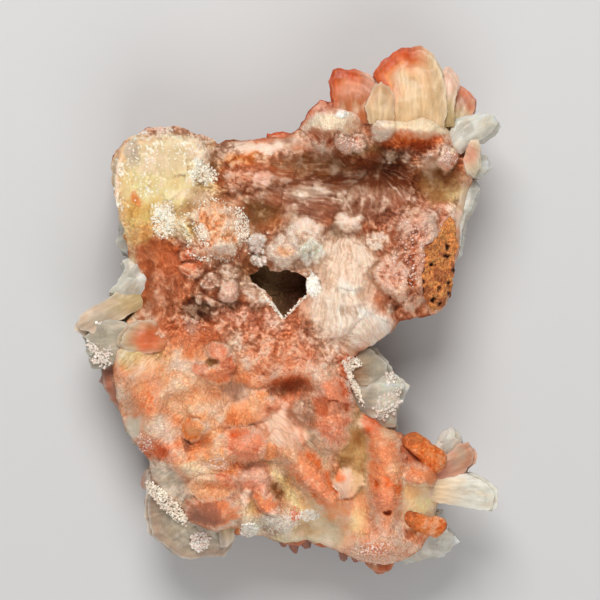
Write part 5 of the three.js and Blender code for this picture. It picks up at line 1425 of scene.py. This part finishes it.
def growth_lines(label):
    """Lines along a crystal from root to tip, with a few cross steps."""
    nodes, given, end = node_group(label, {"Growth": None, "Spacing": 0.35}, ("Lines", "Height", "Edge"))
    apart = nodes.add("SeparateXYZ", {0: given["Growth"]}).outputs
    across, along = nodes.maths("DIVIDE", apart[0], given["Spacing"]), nodes.times(apart[1], 0.35)
    place = nodes.add("CombineXYZ", {0: across, 1: along}).outputs[0]
    lines = nodes.noise(place, 0.55)
    steps = nodes.add("TexVoronoi", {"Vector": place, "Scale": 0.5}, feature="F1").outputs["Distance"]
    nodes.feed(end, {
        "Lines": nodes.between(lines, 0.3, 0.7), "Height": nodes.plus(lines, nodes.times(steps, 0.4)),
        "Edge": apart[2]})
    return nodes.tree


def sugar_grains(label):
    """Tiny crystal grains: a number for each, how near the gap round it a point is, and a glint on a
    few; the fibres' look paints shade in the gaps and light on the glints.
    """
    nodes, given, end = node_group(label, {"Size in mm": 0.4}, ("Grain", "Gap", "Glint", "Height"))
    grain = nodes.add("TexVoronoi", nodes.scaled_place(given["Size in mm"]), feature="F1").outputs
    apart = nodes.add("SeparateColor", {0: grain["Color"]}).outputs
    tilt = nodes.times(grain["Distance"], nodes.between(apart[2], 0, 1, -0.6, -1.2))
    nodes.feed(end, {
        "Grain": apart[0], "Gap": nodes.between(grain["Distance"], 0.35, 0.75),
        "Glint": nodes.between(apart[1], 0.86, 0.92), "Height": nodes.plus(tilt, apart[0])})
    return nodes.tree


def milky_veils(label):
    """Cloudy places inside a crystal."""
    nodes, given, end = node_group(label, {"Size in mm": 3.0}, ("Veil",))
    cloud = nodes.add("TexNoise", {**nodes.scaled_place(given["Size in mm"]), "Detail": 4.0}).outputs["Fac"]
    nodes.feed(end, {"Veil": nodes.between(cloud, 0.4, 0.65)})
    return nodes.tree


def new_material(name):
    material = bpy.data.materials.new(name)
    material.use_nodes = True
    return material, Nodes(material.node_tree), material.node_tree.nodes["Principled BSDF"]


def stone_material(name):
    """A look that starts with the mesh's own colour. That layer is always the first of the added
    nodes, because a look that also absorbs light renders black where another layer comes before it."""
    material, nodes, shader = new_material(name)
    return material, nodes, shader, nodes.layer("tint", "Color")


def fibre_material(name, glossy=0.0):
    """Salmon stilbite seen along its fibres: silky streaks, sugary tufts and smooth cleavages."""
    material, nodes, shader, tint = stone_material(name)
    growth = nodes.layer("growth")
    druse, silk, glass = nodes.add("SeparateXYZ", {0: nodes.layer("kind")}).outputs[:3]
    fibres = nodes.group(silky_fibres, Way=growth)
    grains = nodes.group(sugar_grains, Size_in_mm=0.42)
    rough_share = nodes.minus(1.0, nodes.maths("MAXIMUM", silk, glass), clamp=True)
    woolly = nodes.minus(1.0, nodes.times(glass, 0.9), clamp=True)
    streak_light = nodes.maths("POWER", nodes.between(fibres["Streak"], 0, 1, 0.80, 1.18), woolly)
    grain_light = nodes.between(grains["Grain"], 0, 1, 0.88, 1.12)
    # Painted shade in the gaps between the grains, and a painted glint that lightens a few grains
    grain_light = nodes.minus(grain_light, nodes.times(grains["Gap"], 0.06))
    grain_light = nodes.plus(grain_light, nodes.times(grains["Glint"], 0.32))
    grain_light = nodes.maths("POWER", grain_light, nodes.plus(rough_share, nodes.times(druse, 0.6)))
    smooth = nodes.plus(nodes.times(silk, 0.16), nodes.times(glass, 0.3))
    roughness = nodes.minus(0.66 - glossy, smooth)
    grain_height = nodes.times(grains["Height"], nodes.plus(rough_share, 0.15))
    height = nodes.plus(grain_height, nodes.times(fibres["Height"], woolly))
    nodes.feed(shader, {
        "Base Color": nodes.shaded(tint, nodes.times(streak_light, grain_light)),
        "Roughness": nodes.minus(roughness, nodes.times(grains["Glint"], 0.3), clamp=True),
        "Normal": nodes.bump(0.9, 0.26 * MM, height),
        "Subsurface Weight": 0.35, "Subsurface Radius": (1.0, 0.5, 0.3), "Subsurface Scale": 1.6 * MM,
        "Specular IOR Level": 0.2, "IOR": STONE_IOR})
    return material


def blade_material(name, clear, density=0):
    """Crystal blades: how see-through they are, and how much the clear ones absorb."""
    material, nodes, shader, tint = stone_material(name)
    lines = nodes.group(growth_lines, Growth=nodes.layer("growth"))
    veil = nodes.group(milky_veils)["Veil"]
    light = nodes.between(lines["Lines"], 0, 1, 0.86, 1.10)
    light = nodes.times(light, nodes.between(veil, 0, 1, 0.94, 1.06))
    nodes.feed(shader, {
        "Base Color": nodes.shaded(tint, light),
        "Roughness": nodes.plus(
            nodes.between(veil, 0, 1, 0.26, 0.44), nodes.times(lines["Edge"], 0.25), clamp=True),
        "Normal": nodes.bump(0.5, 0.12 * MM, lines["Height"]),
        "Subsurface Weight": 0.15, "Subsurface Radius": (1.0, 0.7, 0.5), "Subsurface Scale": 2 * MM,
        "Specular IOR Level": 0.5 if density else 0.2, "IOR": STONE_IOR, "Transmission Weight": clear})
    if density:
        volume = nodes.add("VolumeAbsorption", {"Color": (*linear(MIST), 1), "Density": density})
        nodes.feed(material.node_tree.nodes["Material Output"], {"Volume": volume.outputs[0]})
    return material


def sugar_material():
    """White sugary grains, clear enough to take up what is under them."""
    material, nodes, shader, tint = stone_material("White sugar")
    veil = nodes.group(milky_veils, Size_in_mm=1.2)["Veil"]
    nodes.feed(shader, {
        "Base Color": nodes.shaded(tint, nodes.between(veil, 0, 1, 0.9, 1.08)),
        "Roughness": nodes.between(veil, 0, 1, 0.2, 0.45),
        "Subsurface Weight": 0.1, "Subsurface Radius": (1.0, 0.8, 0.7), "Subsurface Scale": 0.8 * MM,
        "IOR": STONE_IOR})
    return material


def matrix_material():
    """Rusty spongy matrix, dull and crumbly."""
    material, nodes, shader, tint = stone_material("Rusty matrix")
    crumbs = nodes.group(sugar_grains, Size_in_mm=0.3)
    nodes.feed(shader, {
        "Base Color": nodes.shaded(tint, nodes.between(crumbs["Grain"], 0, 1, 0.6, 1.4)),
        "Roughness": nodes.between(crumbs["Glint"], 0, 1, 0.85, 0.45),
        "Normal": nodes.bump(0.8, 0.2 * MM, crumbs["Height"])})
    return material


def floor_material(colour):
    material, nodes, shader = new_material("Pale floor")
    where = nodes.add("TexCoord", {}).outputs["Object"]
    cloud = nodes.add("TexNoise", {"Vector": where, "Scale": 9.0, "Detail": 2.0}).outputs["Fac"]
    nodes.feed(shader, {"Base Color": (*colour, 1), "Roughness": nodes.between(cloud, 0.3, 0.7, 0.62, 0.66)})
    return material


class StilbiteSettings(bpy.types.PropertyGroup):
    """Sizes and looks of the cluster."""

    face_step: FloatProperty(
        name="Face step", description="Spacing of the points on the broken face",
        default=0.00025, min=0.0002, max=0.002, unit="LENGTH", precision=5)
    tuft_width: FloatProperty(
        name="Tuft width", description="Width of a tuft of fibres on the broken face",
        default=0.0024, min=0.0005, max=0.01, unit="LENGTH", precision=5)
    tuft_height: FloatProperty(
        name="Tuft height", description="How far a tuft stands up",
        default=0.0008, min=0, max=0.003, unit="LENGTH", precision=5)
    # Strength of the painted highlight on raised tips
    tip_highlight: FloatProperty(
        name="Tip highlight", description="How pale the tips of the tufts are",
        default=0.75, min=0, max=1, subtype="FACTOR")
    # Strength of the painted shade between the tufts
    painted_gap_shade: FloatProperty(
        name="Painted gap shade", description="How much deeper the colour is between the tufts",
        default=0.7, min=0, max=2, subtype="FACTOR")
    blade_step: FloatProperty(
        name="Blade step", description="Spacing of the points on a rim crystal",
        default=0.0004, min=0.0002, max=0.002, unit="LENGTH", precision=5)
    blade_clearness: FloatProperty(
        name="Blade clearness", description="How see-through the stained blades are",
        default=0.15, min=0, max=1, subtype="FACTOR")
    clear_clearness: FloatProperty(
        name="Clear crystal", description="How see-through the clear crystals are",
        default=0.36, min=0, max=1, subtype="FACTOR")
    grain_seed: IntProperty(
        name="Grain seed", description="Number that the scatter of the grains starts from", default=11, min=0)
    floor_colour: FloatVectorProperty(
        name="Floor", description="Colour of the floor", subtype="COLOR", size=3,
        default=(0.62, 0.61, 0.6), min=0, max=1)
    light_power: FloatProperty(
        name="Light power", description="Power of the main soft light", default=3.25, min=0, unit="POWER")


MADE = {}


def the_field():
    """The face's heights and colours, worked out once for each set of sizes."""
    settings = bpy.context.scene.stilbite
    sizes = ("face_step", "tuft_width", "tuft_height", "tip_highlight", "painted_gap_shade")
    key = tuple(getattr(settings, size) for size in sizes)
    if key not in MADE:
        MADE.clear()
        MADE[key] = Field(settings.face_step / MM, settings)
    return MADE[key]


def rim_crystals(settings, clear):
    """The single crystals of the rim that are clear, or the ones that aren't."""
    shell = Shell()
    for k, crystal in enumerate(RIM_CRYSTALS):
        if bool(crystal.get("clear")) == clear:
            rim_crystal(shell, crystal, 400 + 7 * k, settings.blade_step / MM)
    return shell


class STILBITE_OT_face(bpy.types.Operator):
    """Builds the broken face and the pocket in it"""

    bl_idname = "stilbite.face"
    bl_label = "Broken face"

    def execute(self, context):
        shell, lining = Shell(), Shell()
        kinds = grown_face(the_field(), shell, lining)
        shell.build("broken_face", fibre_material("Salmon fibres"), extra={"kind": kinds})
        lining.build("pocket_lining", fibre_material("Pocket lining", glossy=0.3))
        return {"FINISHED"}


class STILBITE_OT_back(bpy.types.Operator):
    """Builds the crystal side with its sheaves"""

    bl_idname = "stilbite.back"
    bl_label = "Crystal side"

    def execute(self, context):
        back, sheaves = Shell(), Shell()
        crystal_side(back)
        back.build("crystal_side", fibre_material("Peach fibres"))
        for k, row in enumerate(SHEAVES):
            sheaf(sheaves, *row, False, 200 + k)
        for k, (x, y, width, thickness, turn) in enumerate(FEET):
            sheaf(sheaves, x, y, 0, width, thickness, turn, True, 300 + k)
        material = blade_material("Peach blades", context.scene.stilbite.blade_clearness)
        sheaves.build("sheaves", material, sharp=24)
        return {"FINISHED"}


class STILBITE_OT_rim(bpy.types.Operator):
    """Builds the stained blades and fans round the rim"""

    bl_idname = "stilbite.rim"
    bl_label = "Rim blades"

    def execute(self, context):
        settings = context.scene.stilbite
        small = Shell()
        rim_blades(small)
        stained = rim_crystals(settings, False)
        stained.build("stained_blades", blade_material("Stained blades", settings.blade_clearness), sharp=40)
        small.build("small_rim_blades", blade_material("Small blades", settings.blade_clearness), sharp=24)
        return {"FINISHED"}


class STILBITE_OT_fingers(bpy.types.Operator):
    """Builds the rounded orange fingers"""

    bl_idname = "stilbite.fingers"
    bl_label = "Fingers"

    def execute(self, context):
        shell = Shell()
        for k, row in enumerate(FINGERS):
            finger(shell, *row, 500 + 11 * k)
        shell.build("fingers", fibre_material("Orange fingers"))
        return {"FINISHED"}


class STILBITE_OT_grains(bpy.types.Operator):
    """Strews the white sugary grains"""

    bl_idname = "stilbite.grains"
    bl_label = "Sugary grains"

    def execute(self, context):
        field, shell = the_field(), Shell()
        for k, bed in enumerate(GRAIN_BEDS):
            grain_bed(shell, field, bed, context.scene.stilbite.grain_seed + k)
        shell.build("sugar_grains", sugar_material(), sharp=20)
        return {"FINISHED"}


class STILBITE_OT_matrix(bpy.types.Operator):
    """Builds the scab of matrix"""

    bl_idname = "stilbite.matrix"
    bl_label = "Matrix scab"

    def execute(self, context):
        shell = Shell()
        matrix_scab(shell)
        shell.build("matrix_scab", matrix_material(), "matrix_remnant", "matrix")
        return {"FINISHED"}


class STILBITE_OT_clear(bpy.types.Operator):
    """Builds the clear crystals of the rim"""

    bl_idname = "stilbite.clear"
    bl_label = "Clear crystals"

    def execute(self, context):
        settings = context.scene.stilbite
        look = blade_material("Clear crystal", settings.clear_clearness, MIST_DENSITY)
        rim_crystals(settings, True).build("clear_blades", look, sharp=40)
        return {"FINISHED"}


class STILBITE_OT_stage(bpy.types.Operator):
    """Sets the pale floor, the soft lights and the camera"""

    bl_idname = "stilbite.stage"
    bl_label = "Stage"

    def execute(self, context):
        settings = context.scene.stilbite
        mesh = bpy.data.meshes.new("floor")
        corners = [(-1.2, -1.2, 0), (1.2, -1.2, 0), (1.2, 1.2, 0), (-1.2, 1.2, 0)]
        mesh.from_pydata(corners, [], [(0, 1, 2, 3)])
        mesh.materials.append(floor_material(settings.floor_colour))
        floor = bpy.data.objects.new("floor", mesh)
        context.scene.collection.objects.link(floor)
        self.light("top_light", (-0.05, 0.38, 0.53), settings.light_power, 0.35)
        self.light("fill_light", (0.1, -0.45, 0.55), settings.light_power * 0.6, 0.6)
        world = bpy.data.worlds.new("Studio")
        world.use_nodes = True
        background = world.node_tree.nodes["Background"]
        Nodes(world.node_tree).feed(background, {"Color": (0.97, 0.98, 1.0, 1), "Strength": 0.27})
        context.scene.world = world
        camera = bpy.data.objects.new("camera", bpy.data.cameras.new("camera"))
        camera.data.sensor_width = 36
        camera.data.lens = 150
        camera.location = ((2.0 + TO_MIDDLE[0]) * MM, (2.0 + TO_MIDDLE[1]) * MM, 0.522)
        context.scene.collection.objects.link(camera)
        context.scene.camera = camera
        context.scene.view_settings.view_transform = "Standard"
        return {"FINISHED"}

    def light(self, name, place, power, size):
        """A round soft light that looks at the cluster."""
        lamp = bpy.data.lights.new(name, "AREA")
        lamp.shape = "DISK"
        lamp.size = size
        lamp.energy = power
        made = bpy.data.objects.new(name, lamp)
        made.location = place
        made.rotation_euler = (Vector((0, 0, 0.02)) - Vector(place)).to_track_quat("-Z", "Y").to_euler()
        bpy.context.scene.collection.objects.link(made)


# The clear crystals come last, because only their look absorbs light
OPERATORS = (STILBITE_OT_stage, STILBITE_OT_face, STILBITE_OT_back, STILBITE_OT_rim, STILBITE_OT_fingers,
             STILBITE_OT_grains, STILBITE_OT_matrix, STILBITE_OT_clear)


class STILBITE_PT_panel(bpy.types.Panel):
    """Sidebar panel of the stilbite cluster"""

    bl_label = "Stilbite cluster"
    bl_idname = "STILBITE_PT_panel"
    bl_space_type = "VIEW_3D"
    bl_region_type = "UI"
    bl_category = "Stilbite"

    def draw(self, context):
        settings = context.scene.stilbite
        for name in settings.__annotations__:
            self.layout.prop(settings, name)
        for operator in OPERATORS:
            self.layout.operator(operator.bl_idname)


def register():
    for made in (StilbiteSettings, *OPERATORS, STILBITE_PT_panel):
        bpy.utils.register_class(made)
    bpy.types.Scene.stilbite = PointerProperty(type=StilbiteSettings)


def unregister():
    del bpy.types.Scene.stilbite
    for made in reversed((StilbiteSettings, *OPERATORS, STILBITE_PT_panel)):
        bpy.utils.unregister_class(made)


def main():
    register()
    bpy.ops.stilbite.stage()
    bpy.ops.stilbite.face()
    bpy.ops.stilbite.back()
    bpy.ops.stilbite.rim()
    bpy.ops.stilbite.fingers()
    bpy.ops.stilbite.grains()
    bpy.ops.stilbite.matrix()
    bpy.ops.stilbite.clear()


if __name__ == "__main__":
    main()
